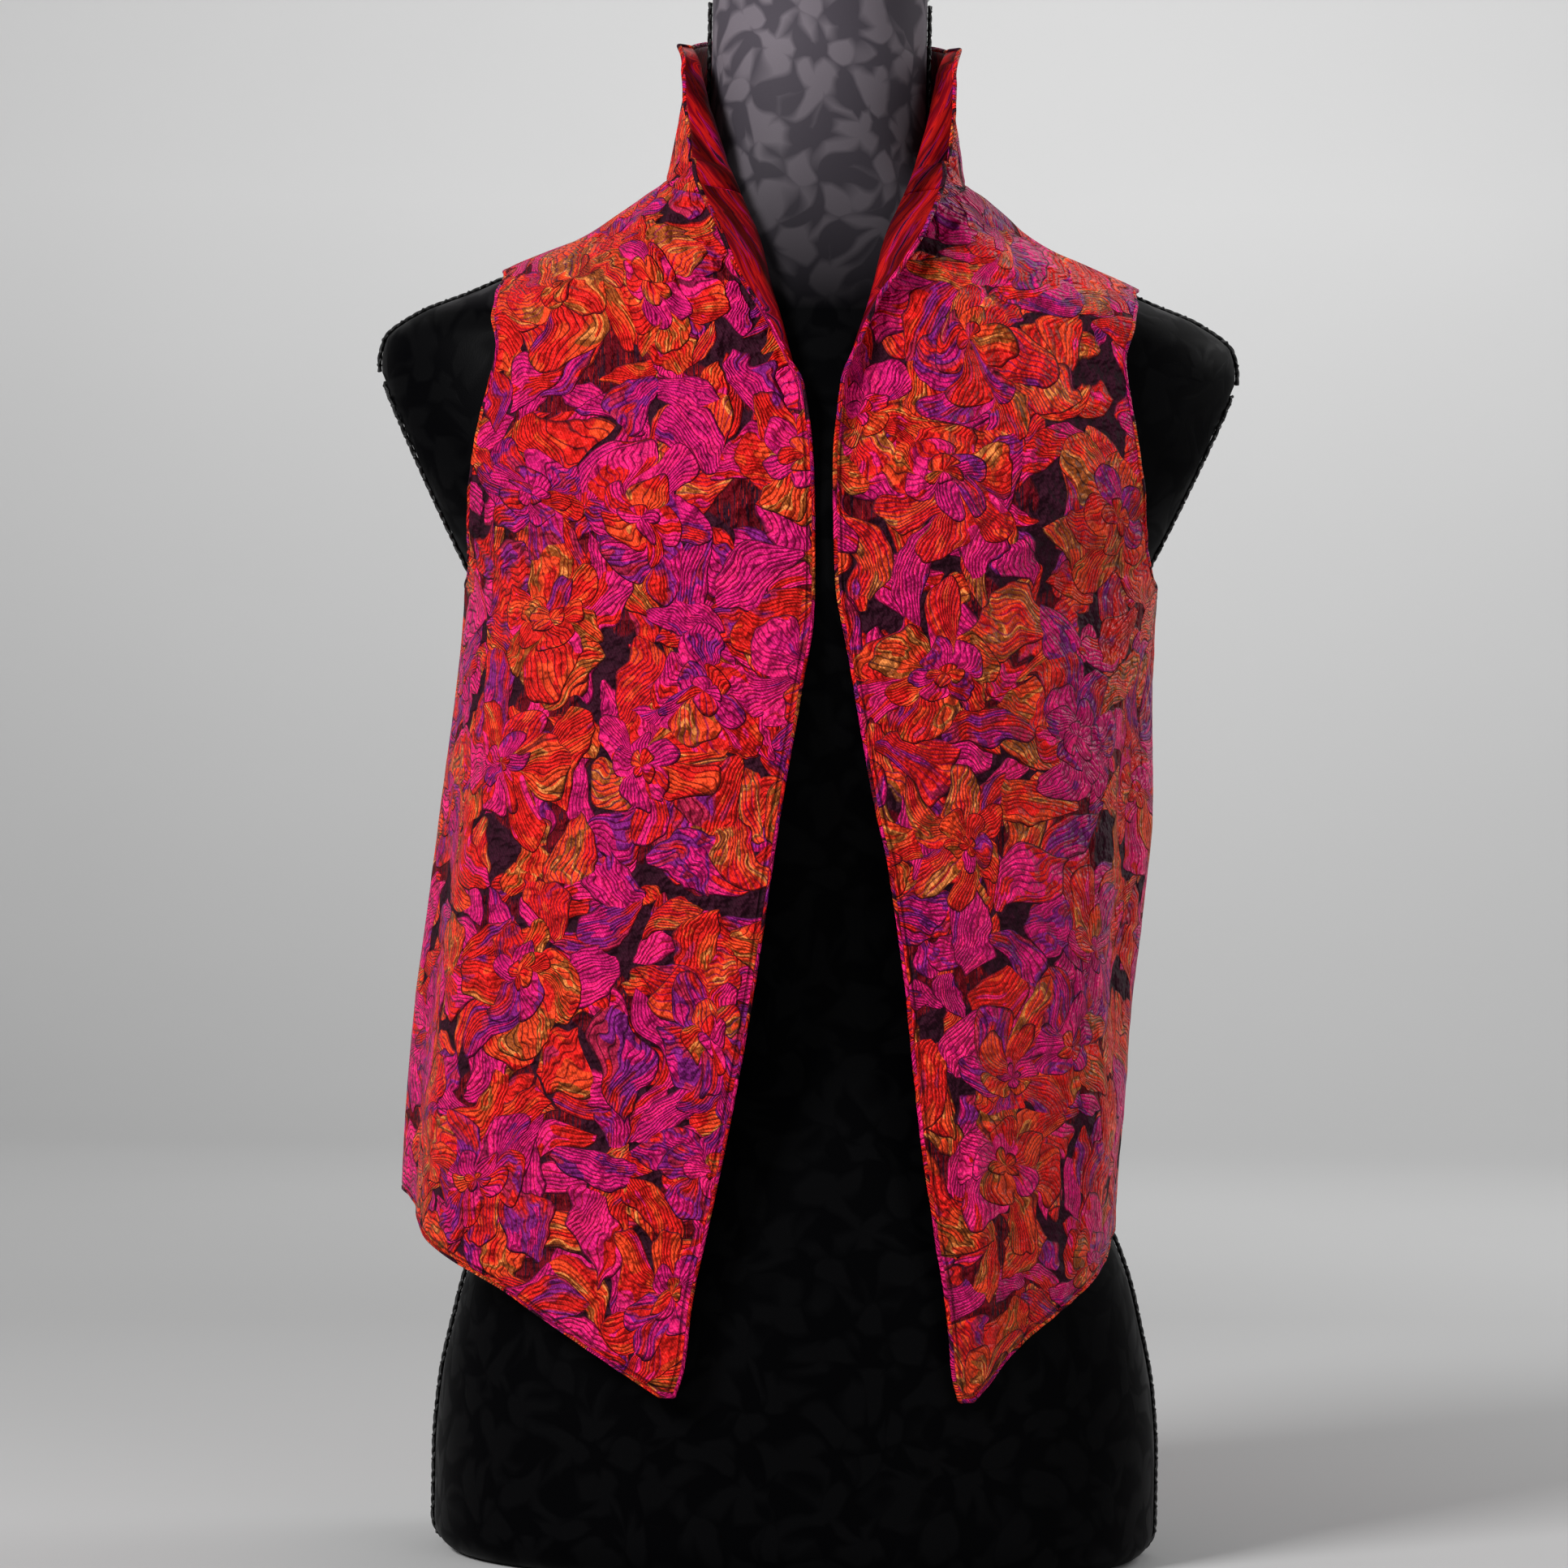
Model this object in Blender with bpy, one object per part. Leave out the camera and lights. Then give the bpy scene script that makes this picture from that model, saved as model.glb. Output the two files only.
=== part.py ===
"""A sleeveless, open-fronted waistcoat with a tall stand collar, worn by a limbless dress form.

The dress form stands on its own flat underside at Z = 0. X runs to the right as seen from the
front, the front faces -Y, and Z is up. The tables below are in millimetres and degrees.
Both the form and the cloth are described by horizontal rings. A ring has a half width to the
left and to the right, a front depth and a back depth, and the power of its rounded outline.
"""

import math

import bmesh
import bpy
import numpy as np
from mathutils import Vector

MM = 0.001

# Driving sizes of the cloth
WALL = 2.0
SEAM_GAP = 0.3
FOLD_RADIUS = 2.6
FOLD_RUN_OUT = 60.0
FOLD_GROWTH_SHARE = 0.45
FOLD_FREE_SEAM_DEGREES = 9.0
ARMHOLE_BOTTOM = 440.0
SIDE_HEM = {"left": 165.0, "right": 153.0}
SHOULDER_TIP = {"left": 589.4, "right": 584.6}
NECK_POINT = 631.0
NECK_FRONT = 617.0
BACK_NECK_RISE = 8.0
BACK_HEM_DIP = 10.0
COLLAR_TOP_FRONT = 684.0
COLLAR_TOP_SIDE = 691.0
COLLAR_TOP_BACK = 705.0

# Driving sizes of the dress form
FORM_HEIGHT = 716.0
BOTTOM_ROUND = 14.0
BRAID_WIDTH = 6.5
BRAID_THICKNESS = 1.4
BRAID_LIFT = 3.0
BRAID_TOP_GAP = 2.0
PLATE_CENTRE = 490.0
PLATE_HALF_HEIGHT = 44.0
PLATE_HALF_DEPTH = 29.0
PLATE_FOOT = (455.0, 156.5)
PLATE_LEAN = 0.47
PLATE_LEAD_IN = 18.0
CAP_HEIGHT = 15.0
CAP_LIP = 1.4
CAP_EDGE_ROUND = 4.0
CAP_FOOT_SPREAD = 0.4
CAP_FOOT_RISE = 1.5

# The frame's origin is under the middle of the whole outline, this far ahead of the seam plane
ORIGIN_AHEAD = 3.6

# Mesh counts, and the longest step between two rings of the form
FORM_SEGMENTS = 40
FRONT_COLUMNS = 11
FLAP_COLUMNS = 4
BACK_COLUMNS = 9
SKIRT_ROWS = 11
ARMHOLE_ROWS = 11
ARMHOLE_SAMPLES = 200
SHOULDER_ROWS = 6
COLLAR_COLUMNS = 17
COLLAR_ROWS = 6
BRAID_RING_SEGMENTS = 40
ROUND_STEPS = 4
LONGEST_FORM_STEP = 28.0
SHARP_EDGE_DEGREES = 40.0

# Heights at the front edge and at the centre back where the armhole rows and shoulder rows start
FRONT_ROW_STOPS = (300.0, 604.0)
BACK_ROW_STOPS = (330.0, 612.0)

# Dress form: height, half width, front depth, back depth, power, sideways lean of the ring
FORM_RINGS = [
    (0.0, 165.6, 104.0, 114.0, 2.30, 1.6),
    (45.0, 165.6, 105.0, 114.0, 2.30, 1.6),
    (75.0, 163.5, 106.0, 113.0, 2.30, 1.6),
    (110.0, 156.5, 106.0, 110.0, 2.30, 1.6),
    (125.0, 152.8, 105.5, 108.0, 2.25, 1.6),
    (140.0, 147.6, 104.5, 106.0, 2.25, 1.6),
    (155.0, 141.2, 103.0, 103.5, 2.20, 1.6),
    (175.0, 134.0, 100.0, 99.0, 2.20, 1.4),
    (210.0, 124.0, 91.0, 86.0, 2.10, 0.8),
    (250.0, 118.0, 83.0, 76.0, 2.10, 0.0),
    (290.0, 119.0, 84.0, 77.0, 2.10, 0.0),
    (330.0, 126.0, 92.0, 84.0, 2.10, 0.0),
    (390.0, 140.0, 108.0, 93.0, 2.10, 0.0),
    (440.0, 150.0, 115.0, 97.5, 2.10, 0.0),
    (470.0, 171.0, 113.0, 98.0, 2.00, 0.0),
    (500.0, 188.0, 106.0, 96.0, 2.00, 0.0),
    (530.0, 195.5, 94.0, 90.0, 2.00, 0.0),
    (545.0, 197.0, 88.0, 84.0, 2.00, 0.0),
    (555.0, 195.0, 84.0, 79.0, 2.00, 0.0),
    (567.0, 180.0, 78.0, 72.0, 2.00, 0.0),
    (576.5, 157.0, 73.0, 67.0, 2.00, 0.0),
    (584.0, 140.0, 69.0, 63.5, 2.00, 0.0),
    (593.0, 116.0, 64.5, 60.0, 2.00, 0.2),
    (599.5, 103.0, 62.0, 58.0, 2.00, 0.4),
    (608.5, 90.0, 59.0, 56.0, 2.00, 0.8),
    (618.5, 76.0, 56.5, 54.0, 2.00, 1.4),
    (625.5, 66.0, 55.0, 53.0, 2.00, 1.8),
    (634.0, 57.0, 53.5, 52.0, 2.00, 2.4),
    (645.0, 51.5, 52.0, 51.5, 2.00, 2.8),
    (660.0, 49.8, 51.0, 51.0, 2.00, 2.8),
    (690.0, 49.6, 50.5, 50.5, 2.00, 2.8),
    (716.0, 49.6, 50.0, 50.0, 2.00, 2.8),
]

# Cloth, outer face: height, half width left, half width right, front depth, back depth, power
CLOTH_RINGS = [
    (80.0, 182.0, 147.5, 119.0, 113.0, 2.25),
    (153.0, 182.0, 147.8, 121.0, 112.0, 2.25),
    (175.0, 181.5, 148.4, 121.5, 111.0, 2.25),
    (203.0, 180.4, 150.5, 122.0, 109.0, 2.25),
    (250.0, 177.0, 153.3, 122.0, 107.0, 2.20),
    (300.0, 171.0, 158.5, 121.5, 105.0, 2.20),
    (345.0, 166.0, 162.0, 121.0, 104.0, 2.15),
    (397.0, 160.0, 161.0, 120.5, 103.0, 2.15),
    (440.0, 157.0, 162.2, 119.5, 102.0, 2.10),
    (470.0, 175.5, 177.0, 117.5, 102.5, 2.05),
    (500.0, 192.5, 193.0, 110.5, 100.5, 2.00),
    (530.0, 200.0, 200.5, 98.5, 94.5, 2.00),
    (559.0, 199.0, 199.0, 87.0, 82.0, 2.00),
    (571.0, 183.0, 183.0, 81.5, 75.5, 2.00),
    (581.0, 157.5, 157.5, 77.0, 71.5, 2.00),
    (589.5, 139.0, 139.0, 73.0, 67.5, 2.00),
    (598.5, 116.5, 116.5, 69.0, 64.5, 2.00),
    (605.0, 103.5, 104.0, 66.5, 62.5, 2.00),
    (614.0, 90.5, 93.0, 64.0, 60.5, 2.00),
    (624.0, 76.5, 81.0, 62.0, 59.0, 2.00),
    (631.0, 67.5, 71.5, 61.0, 61.0, 2.00),
    (645.0, 64.3, 68.8, 60.5, 61.5, 2.00),
    (663.0, 61.0, 66.0, 60.0, 62.0, 2.00),
    (680.0, 58.2, 64.0, 60.0, 62.0, 2.00),
    (706.0, 57.8, 63.5, 60.0, 62.0, 2.00),
]

# Front edges: height, sideways place of the edge as seen from the front, how far the edge turns
# back on itself, and the length of the cloth that turns
LEFT_EDGE = [
    (84.5, -52.5, 0.0, 6.0),
    (97.5, -48.8, 0.0, 6.0),
    (124.0, -46.0, 0.0, 6.0),
    (158.0, -39.5, 0.0, 6.0),
    (196.0, -32.0, 0.0, 6.0),
    (265.0, -20.6, 0.0, 6.0),
    (341.0, -10.5, 0.0, 7.0),
    (392.0, -2.4, -6.0, 8.0),
    (433.0, 3.0, -8.0, 9.0),
    (480.0, 2.4, -8.0, 9.0),
    (505.0, 0.5, 10.0, 8.0),
    (527.0, -4.0, 70.0, 8.0),
    (543.0, -8.3, 120.0, 9.5),
    (557.0, -12.0, 145.0, 13.0),
    (576.0, -17.6, 155.0, 19.5),
    (595.0, -22.0, 155.0, 23.0),
    (617.0, -30.5, 150.0, 23.5),
    (637.0, -38.0, 145.0, 17.5),
    (665.0, -47.0, 110.0, 11.0),
    (684.0, -52.5, 60.0, 8.0),
]
RIGHT_EDGE = [
    (83.0, 74.0, 0.0, 6.0),
    (94.5, 70.7, 0.0, 6.0),
    (126.0, 67.0, 0.0, 6.0),
    (155.0, 62.0, 0.0, 6.0),
    (200.0, 54.9, 0.0, 6.0),
    (271.0, 46.3, 0.0, 6.0),
    (317.0, 38.9, 0.0, 6.0),
    (342.0, 33.0, 0.0, 6.0),
    (411.0, 19.7, 0.0, 6.0),
    (443.0, 13.8, 0.0, 7.0),
    (494.0, 12.1, 15.0, 8.0),
    (521.0, 14.5, 60.0, 8.0),
    (538.0, 17.0, 90.0, 8.5),
    (551.0, 20.6, 110.0, 9.0),
    (566.0, 25.3, 130.0, 10.5),
    (577.0, 28.0, 145.0, 15.5),
    (598.0, 32.5, 155.0, 22.5),
    (617.0, 39.5, 150.0, 21.0),
    (637.0, 46.5, 140.0, 16.0),
    (662.0, 52.5, 105.0, 11.5),
    (684.0, 58.0, 60.0, 8.0),
]

# Hems of the fronts: sideways place, height
LEFT_HEM = [(-182.0, 165.0), (-175.0, 158.0), (-165.0, 150.0), (-147.0, 138.0), (-109.0, 116.0),
            (-85.0, 101.5), (-58.5, 84.5)]
RIGHT_HEM = [(80.0, 83.0), (86.0, 89.5), (97.0, 102.5), (115.0, 118.0), (131.0, 132.0),
             (140.0, 141.0), (148.0, 153.0)]

# Armholes: share of the height, angle round the ring from straight ahead or straight behind
FRONT_ARMHOLE = [
    (0.00, 90.0), (0.02, 85.0), (0.07, 76.5), (0.16, 70.0), (0.29, 66.6), (0.42, 64.8),
    (0.55, 64.3), (0.69, 64.8), (0.83, 67.9), (0.91, 72.2), (0.975, 80.0), (1.00, 90.0),
]
BACK_ARMHOLE = [
    (0.00, 90.0), (0.02, 85.5), (0.07, 79.0), (0.16, 74.5), (0.29, 71.8), (0.42, 70.3),
    (0.55, 69.8), (0.69, 70.0), (0.83, 72.0), (0.91, 75.0), (0.975, 81.5), (1.00, 90.0),
]

# Largest folds: angle round the ring at the top and the foot, height of the top and the foot,
# half width in degrees, how far the cloth stands out or falls in
FRONT_FOLDS = [
    (-61.0, -66.0, 430.0, 120.0, 8.0, 6.0),
    (-77.0, -80.0, 400.0, 150.0, 7.0, -5.0),
    (-36.0, -42.0, 330.0, 70.0, 11.0, 3.0),
    (72.0, 74.0, 430.0, 270.0, 7.0, -7.0),
    (60.0, 63.0, 330.0, 110.0, 9.0, 3.0),
    (43.0, 50.0, 320.0, 60.0, 9.0, -2.5),
    (47.0, 57.0, 627.0, 596.0, 8.0, 2.5),
]
BACK_FOLDS = [
    (-66.0, -60.0, 420.0, 110.0, 9.0, 4.0),
    (-45.0, -42.0, 380.0, 100.0, 8.0, -4.0),
    (-24.0, -19.0, 400.0, 100.0, 9.0, 4.0),
    (2.0, 4.0, 360.0, 100.0, 8.0, -3.5),
    (24.0, 27.0, 390.0, 100.0, 9.0, 4.0),
    (47.0, 50.0, 400.0, 100.0, 8.0, -4.5),
    (70.0, 66.0, 380.0, 110.0, 8.0, 3.0),
]


def clear_scene():
    """Remove every object that the file opened with."""
    for item in list(bpy.data.objects):
        bpy.data.objects.remove(item, do_unlink=True)


def smooth_column(table, column, key):
    """Read one column of a table at a key, on a curve that never overshoots its rows."""
    keys = [row[0] for row in table]
    values = [row[column] for row in table]
    if key <= keys[0]:
        return values[0]
    if key >= keys[-1]:
        return values[-1]
    step = [b - a for a, b in zip(keys, keys[1:])]
    slope = [(b - a) / s for a, b, s in zip(values, values[1:], step)]
    tangent = [slope[0]]
    for left, right in zip(slope, slope[1:]):
        tangent.append(0.0 if left * right <= 0.0 else 2.0 * left * right / (left + right))
    tangent.append(slope[-1])
    i = int(np.searchsorted(keys, key)) - 1
    t = (key - keys[i]) / step[i]
    near = (1 + 2 * t) * (1 - t) ** 2 * values[i] + t * (1 - t) ** 2 * step[i] * tangent[i]
    far = t * t * (3 - 2 * t) * values[i + 1] + t * t * (t - 1) * step[i] * tangent[i + 1]
    return near + far


def fade(value, start, end):
    """Rise smoothly from 0 at start to 1 at end."""
    t = min(max((value - start) / (end - start), 0.0), 1.0)
    return t * t * (3 - 2 * t)


class Rings:
    """A body described by horizontal rings, read at any height and angle.

    The angle is measured from straight ahead, positive to the right, up to 180 at the back.
    """

    def __init__(self, table, left, right, front, back, power, lean=None):
        self.table = table
        self.columns = (left, right, front, back, power)
        self.lean = lean

    def ring(self, height):
        """Half width left and right, front and back depth, and power at a height."""
        return [smooth_column(self.table, column, height) for column in self.columns]

    def centre(self, height):
        """Sideways lean of the ring at a height."""
        return smooth_column(self.table, self.lean, height) if self.lean else 0.0

    def point(self, angle, height):
        """The point of the ring at an angle in degrees."""
        left, right, front, back, power = self.ring(height)
        across = math.sin(math.radians(angle))
        ahead = math.cos(math.radians(angle))
        width = right if across >= 0.0 else left
        depth = front if ahead >= 0.0 else back
        reach = ((abs(across) / width) ** power + (abs(ahead) / depth) ** power) ** (-1.0 / power)
        return Vector((self.centre(height) + reach * across, -reach * ahead, height))

    def normal(self, angle, height):
        """The outward direction of the body there, square to both seam planes."""
        turn = 0.5
        rise = 0.8
        along = self.point(angle + turn, height) - self.point(angle - turn, height)
        up = self.point(angle, height + rise) - self.point(angle, height - rise)
        outward = along.cross(up)
        if abs(abs(angle) - 90.0) < 0.6:
            outward.y = 0.0
        return outward.normalized()

    def angle_at(self, across, height):
        """The angle at which the front of the ring lies a given distance across."""
        left, right, front, _, power = self.ring(height)
        width = right if across >= 0.0 else left
        offset = across - self.centre(height)
        share = min(abs(offset) / width, 1.0)
        ahead = front * (1.0 - share ** power) ** (1.0 / power)
        return math.degrees(math.atan2(offset, ahead))


FORM = Rings(FORM_RINGS, 1, 1, 2, 3, 4, lean=5)
CLOTH = Rings(CLOTH_RINGS, 1, 2, 3, 4, 5)


def fold_height(folds, angle, height):
    """How far the largest folds move the cloth at a place, summed."""
    total = 0.0
    for top_angle, foot_angle, top, foot, half_width, rise in folds:
        share = min(max((top - height) / (top - foot), 0.0), 1.0)
        middle = top_angle + (foot_angle - top_angle) * share
        along = math.exp(-((angle - middle) / half_width) ** 2)
        grown = fade(height, top, top - FOLD_GROWTH_SHARE * (top - foot))
        gone = fade(height, foot, foot - FOLD_RUN_OUT)
        total += rise * along * grown * (1.0 - gone)
    return total


def cloth_place(angle, height, behind=False):
    """A point on the outer face of the cloth, with its outward direction."""
    ring_angle = math.copysign(180.0 - abs(angle), angle) if behind else angle
    outward = CLOTH.normal(ring_angle, height)
    folds = BACK_FOLDS if behind else FRONT_FOLDS
    free = fade(90.0 - abs(angle), 0.0, FOLD_FREE_SEAM_DEGREES)
    shift = fold_height(folds, angle, height) * free
    return CLOTH.point(ring_angle, height) + outward * shift, outward


def edge_values(side, height):
    """Fold line angle, turn and length of the turned cloth of a front edge at a height."""
    table = LEFT_EDGE if side == "left" else RIGHT_EDGE
    seen = smooth_column(table, 1, height)
    turn = smooth_column(table, 2, height)
    length = smooth_column(table, 3, height)
    bend = abs(math.radians(turn))
    straight = length - min(FOLD_RADIUS * bend, length)
    reach = FOLD_RADIUS * math.sin(min(bend, math.pi / 2)) + straight * max(math.cos(bend), 0.0)
    if turn > 90.0:
        reach = FOLD_RADIUS + WALL
    outward = -1.0 if side == "left" else 1.0
    return CLOTH.angle_at(seen + outward * reach, height), turn, length


def turned_cloth(start, outward, inward_edge, turn, length):
    """Points and outer directions of the strip that turns at a front edge.

    The strip leaves the panel at start along inward_edge, bends round FOLD_RADIUS by the turn,
    forward where the turn is positive, and runs on straight to the free edge.
    """
    bend = math.radians(turn)
    lift = 1.0 if bend >= 0.0 else -1.0
    radius = FOLD_RADIUS if bend >= 0.0 else FOLD_RADIUS + WALL
    arc = radius * abs(bend)
    strip = []
    for i in range(1, FLAP_COLUMNS + 1):
        distance = length * i / FLAP_COLUMNS
        swung = min(distance / radius, abs(bend))
        straight = max(distance - arc, 0.0)
        forward = radius * math.sin(swung) + straight * math.cos(swung)
        raised = lift * (radius * (1.0 - math.cos(swung)) + straight * math.sin(swung))
        place = start + inward_edge * forward + outward * raised
        facing = outward * math.cos(swung) - inward_edge * lift * math.sin(swung)
        strip.append((place, facing))
    return strip


def turned_edge(line, turn, length):
    """The turned strip at the start of a line of cloth, free edge first."""
    (near, outward), (beyond, _) = line[0], line[1]
    way = near - beyond
    way -= outward * way.dot(outward)
    way.z = 0.0
    return turned_cloth(near, outward, way.normalized(), turn, length)[::-1]


def armhole_steps(profile, side, behind):
    """Heights and angles along an armhole, evenly spaced along the cloth."""
    low = ARMHOLE_BOTTOM
    high = SHOULDER_TIP[side]
    sign = -1.0 if side == "left" else 1.0
    samples = []
    for i in range(ARMHOLE_SAMPLES + 1):
        share = 0.5 - 0.5 * math.cos(math.pi * i / ARMHOLE_SAMPLES)
        height = low + (high - low) * share
        angle = sign * smooth_column(profile, 1, share)
        samples.append((height, angle, cloth_place(angle, height, behind)[0]))
    travelled = [0.0]
    for a, b in zip(samples, samples[1:]):
        travelled.append(travelled[-1] + (b[2] - a[2]).length)
    wanted = [travelled[-1] * i / ARMHOLE_ROWS for i in range(ARMHOLE_ROWS + 1)]
    heights = np.interp(wanted, travelled, [s[0] for s in samples])
    angles = np.interp(wanted, travelled, [s[1] for s in samples])
    return list(zip(heights, angles))


def outer_line(side, behind):
    """Heights and angles up the side seam, round the armhole and along the shoulder seam."""
    sign = -1.0 if side == "left" else 1.0
    seam = [(h, sign * 90.0) for h in np.linspace(SIDE_HEM[side], ARMHOLE_BOTTOM, SKIRT_ROWS + 1)]
    armhole = armhole_steps(BACK_ARMHOLE if behind else FRONT_ARMHOLE, side, behind)
    shoulder = [(h, sign * 90.0)
                for h in np.linspace(SHOULDER_TIP[side], NECK_POINT, SHOULDER_ROWS + 1)]
    return seam + armhole[1:] + shoulder[1:]


def inner_line(foot, stops, top):
    """Heights up a front edge or the centre back, spaced like the rows of the outer line."""
    levels = [foot, *stops, top]
    heights = [foot]
    for low, high, rows in zip(levels, levels[1:], (SKIRT_ROWS, ARMHOLE_ROWS, SHOULDER_ROWS)):
        heights += list(np.linspace(low, high, rows + 1))[1:]
    return heights


def neckline(share, start, end):
    """Height of the neck seam between the front edge, or the centre back, and the neck point."""
    return start + (end - start) * (1.0 - math.cos(math.pi * share)) / 2.0


def clear_of_seam(point, behind):
    """Hold a point on its own side of the seam plane by half the gap between the pieces."""
    half_gap = SEAM_GAP / 2
    if behind:
        return Vector((point.x, max(point.y, half_gap), point.z))
    return Vector((point.x, min(point.y, -half_gap), point.z))


def clear_of_centre(point, side):
    """Hold a point on its own side of the centre back seam by half the gap between the pieces."""
    half_gap = SEAM_GAP / 2
    across = min(point.x, -half_gap) if side == "left" else max(point.x, half_gap)
    return Vector((across, point.y, point.z))


def front_rows(side):
    """Outer and inner points of a front, from the turned edge to the outer line, hem first."""
    edge = LEFT_EDGE if side == "left" else RIGHT_EDGE
    hem = LEFT_HEM if side == "left" else RIGHT_HEM
    edge_heights = inner_line(edge[0][0], FRONT_ROW_STOPS, NECK_FRONT)
    shoulder_start = FRONT_ROW_STOPS[1]
    rows_out, rows_in = [], []
    for j, (edge_height, (outer_height, outer_angle)) in enumerate(
            zip(edge_heights, outer_line(side, behind=False))):
        start_angle, turn, length = edge_values(side, edge_height)
        rising = max((edge_height - shoulder_start) / (NECK_FRONT - shoulder_start), 0.0)
        line = []
        for i in range(FRONT_COLUMNS + 1):
            share = i / FRONT_COLUMNS
            angle = start_angle + (outer_angle - start_angle) * share
            height = edge_height + (outer_height - edge_height) * share
            height += hem_shift(hem, angle, height, share, j, edge_heights)
            curved = neckline(share, edge_height, outer_height)
            height += (curved - height) * rising
            line.append(cloth_place(angle, height))
        row = turned_edge(line, turn, length) + line
        rows_out.append([clear_of_seam(p, False) for p, n in row])
        rows_in.append([clear_of_seam(p - n * WALL, False) for p, n in row])
    return rows_out, rows_in


def hem_shift(hem, angle, height, share, row, heights):
    """How far a row follows the curve of the hem, fading out up the panel."""
    across = CLOTH.point(angle, height).x
    wanted = float(np.interp(across, [h[0] for h in hem], [h[1] for h in hem]))
    straight = heights[0] + (hem[0][1] + hem[-1][1] - 2 * heights[0]) * share
    return (wanted - straight) * max(1.0 - row / SKIRT_ROWS, 0.0) ** 1.5


def back_rows(side):
    """Outer and inner points of half the back, from its outer line to the centre, hem first."""
    foot = (SIDE_HEM["left"] + SIDE_HEM["right"]) / 2 - BACK_HEM_DIP
    middle = inner_line(foot, BACK_ROW_STOPS, NECK_POINT + BACK_NECK_RISE)
    rows_out, rows_in = [], []
    for centre, (side_height, side_angle) in zip(middle, outer_line(side, behind=True)):
        row = []
        for i in range(BACK_COLUMNS + 1):
            share = 1.0 - i / BACK_COLUMNS
            height = side_height + (centre - side_height) * (1.0 - share * share)
            row.append(cloth_place(share * side_angle, height, behind=True))
        rows_out.append([clear_of_centre(clear_of_seam(p, True), side) for p, n in row])
        rows_in.append([clear_of_centre(clear_of_seam(p - n * WALL, True), side) for p, n in row])
    return rows_out, rows_in


def collar_rows(side):
    """Outer and inner points of half the stand collar, from its turned end to the centre back."""
    sign = -1.0 if side == "left" else 1.0
    seam_start = 180.0 - abs(edge_values(side, NECK_FRONT)[0])
    rows_out, rows_in = [], []
    for j in range(COLLAR_ROWS + 1):
        up = j / COLLAR_ROWS
        end_height = NECK_FRONT + SEAM_GAP + (COLLAR_TOP_FRONT - NECK_FRONT) * up
        end_angle, turn, length = edge_values(side, end_height)
        start = 180.0 - abs(end_angle)
        line = []
        for i in range(COLLAR_COLUMNS + 1):
            around = start * (1.0 - i / COLLAR_COLUMNS)
            behind = around <= 90.0
            angle = around if behind else 180.0 - around
            height = collar_height(around, up, seam_start)
            line.append(cloth_place(sign * angle, height, behind))
        row = turned_edge(line, turn, length) + line
        rows_out.append([clear_of_centre(p, side) for p, n in row])
        rows_in.append([clear_of_centre(p - n * WALL, side) for p, n in row])
    return rows_out, rows_in


def collar_height(from_back, up, seam_start):
    """Height of a collar point: the neck seam at the foot, the free edge at the top."""
    around = min(from_back, seam_start)
    if around <= 90.0:
        share = around / 90.0
        foot = NECK_POINT + BACK_NECK_RISE * (1.0 - share ** 2)
        top = COLLAR_TOP_BACK + (COLLAR_TOP_SIDE - COLLAR_TOP_BACK) * share ** 2
    else:
        share = (seam_start - around) / (seam_start - 90.0)
        foot = neckline(share, NECK_FRONT, NECK_POINT)
        rise = math.sin(math.pi * share / 2)
        top = COLLAR_TOP_FRONT + (COLLAR_TOP_SIDE - COLLAR_TOP_FRONT) * rise
    return foot + SEAM_GAP + (top - foot) * up


def link_object(name, mesh, material):
    """Put a mesh in the scene as one named object with one material, shaded smooth."""
    mesh.shade_smooth()
    mesh.set_sharp_from_angle(angle=math.radians(SHARP_EDGE_DEGREES))
    item = bpy.data.objects.new(name, mesh)
    item.data.materials.append(material)
    bpy.context.collection.objects.link(item)
    return item


def mesh_from(name, points, faces):
    """A closed mesh in metres from points in millimetres, its faces turned outward."""
    mesh = bpy.data.meshes.new(name)
    placed = [(MM * p[0], MM * (p[1] + ORIGIN_AHEAD), MM * p[2]) for p in points]
    mesh.from_pydata(placed, [], faces)
    work = bmesh.new()
    work.from_mesh(mesh)
    bmesh.ops.recalc_face_normals(work, faces=work.faces)
    work.to_mesh(mesh)
    work.free()
    return mesh


def wall_mesh(name, rows_out, rows_in):
    """A thin closed wall between two grids of points."""
    rows = len(rows_out)
    columns = len(rows_out[0])
    points = [p for row in rows_out for p in row] + [p for row in rows_in for p in row]
    inner = rows * columns
    faces = []
    for j in range(rows - 1):
        for i in range(columns - 1):
            a = j * columns + i
            b, c, d = a + 1, a + columns + 1, a + columns
            faces.append((a, b, c, d))
            faces.append((inner + d, inner + c, inner + b, inner + a))
    rim = [j * columns for j in range(rows)]
    rim += [(rows - 1) * columns + i for i in range(1, columns)]
    rim += [j * columns + columns - 1 for j in range(rows - 2, -1, -1)]
    rim += [i for i in range(columns - 2, 0, -1)]
    for a, b in zip(rim, rim[1:] + rim[:1]):
        faces.append((a, b, inner + b, inner + a))
    return mesh_from(name, points, faces)


def loft_mesh(name, rings):
    """A closed body through rings of points, with a flat face at each end."""
    count = len(rings[0])
    points = [p for ring in rings for p in ring]
    faces = []
    for j in range(len(rings) - 1):
        for i in range(count):
            a = j * count + i
            b = j * count + (i + 1) % count
            faces.append((a, b, b + count, a + count))
    faces.append(tuple(range(count)))
    faces.append(tuple((len(rings) - 1) * count + i for i in range(count)))
    return mesh_from(name, points, faces)


def plate_limit(height):
    """How far out the flat arm plate lies at a height."""
    return PLATE_FOOT[1] + (height - PLATE_FOOT[0]) * PLATE_LEAN


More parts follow.
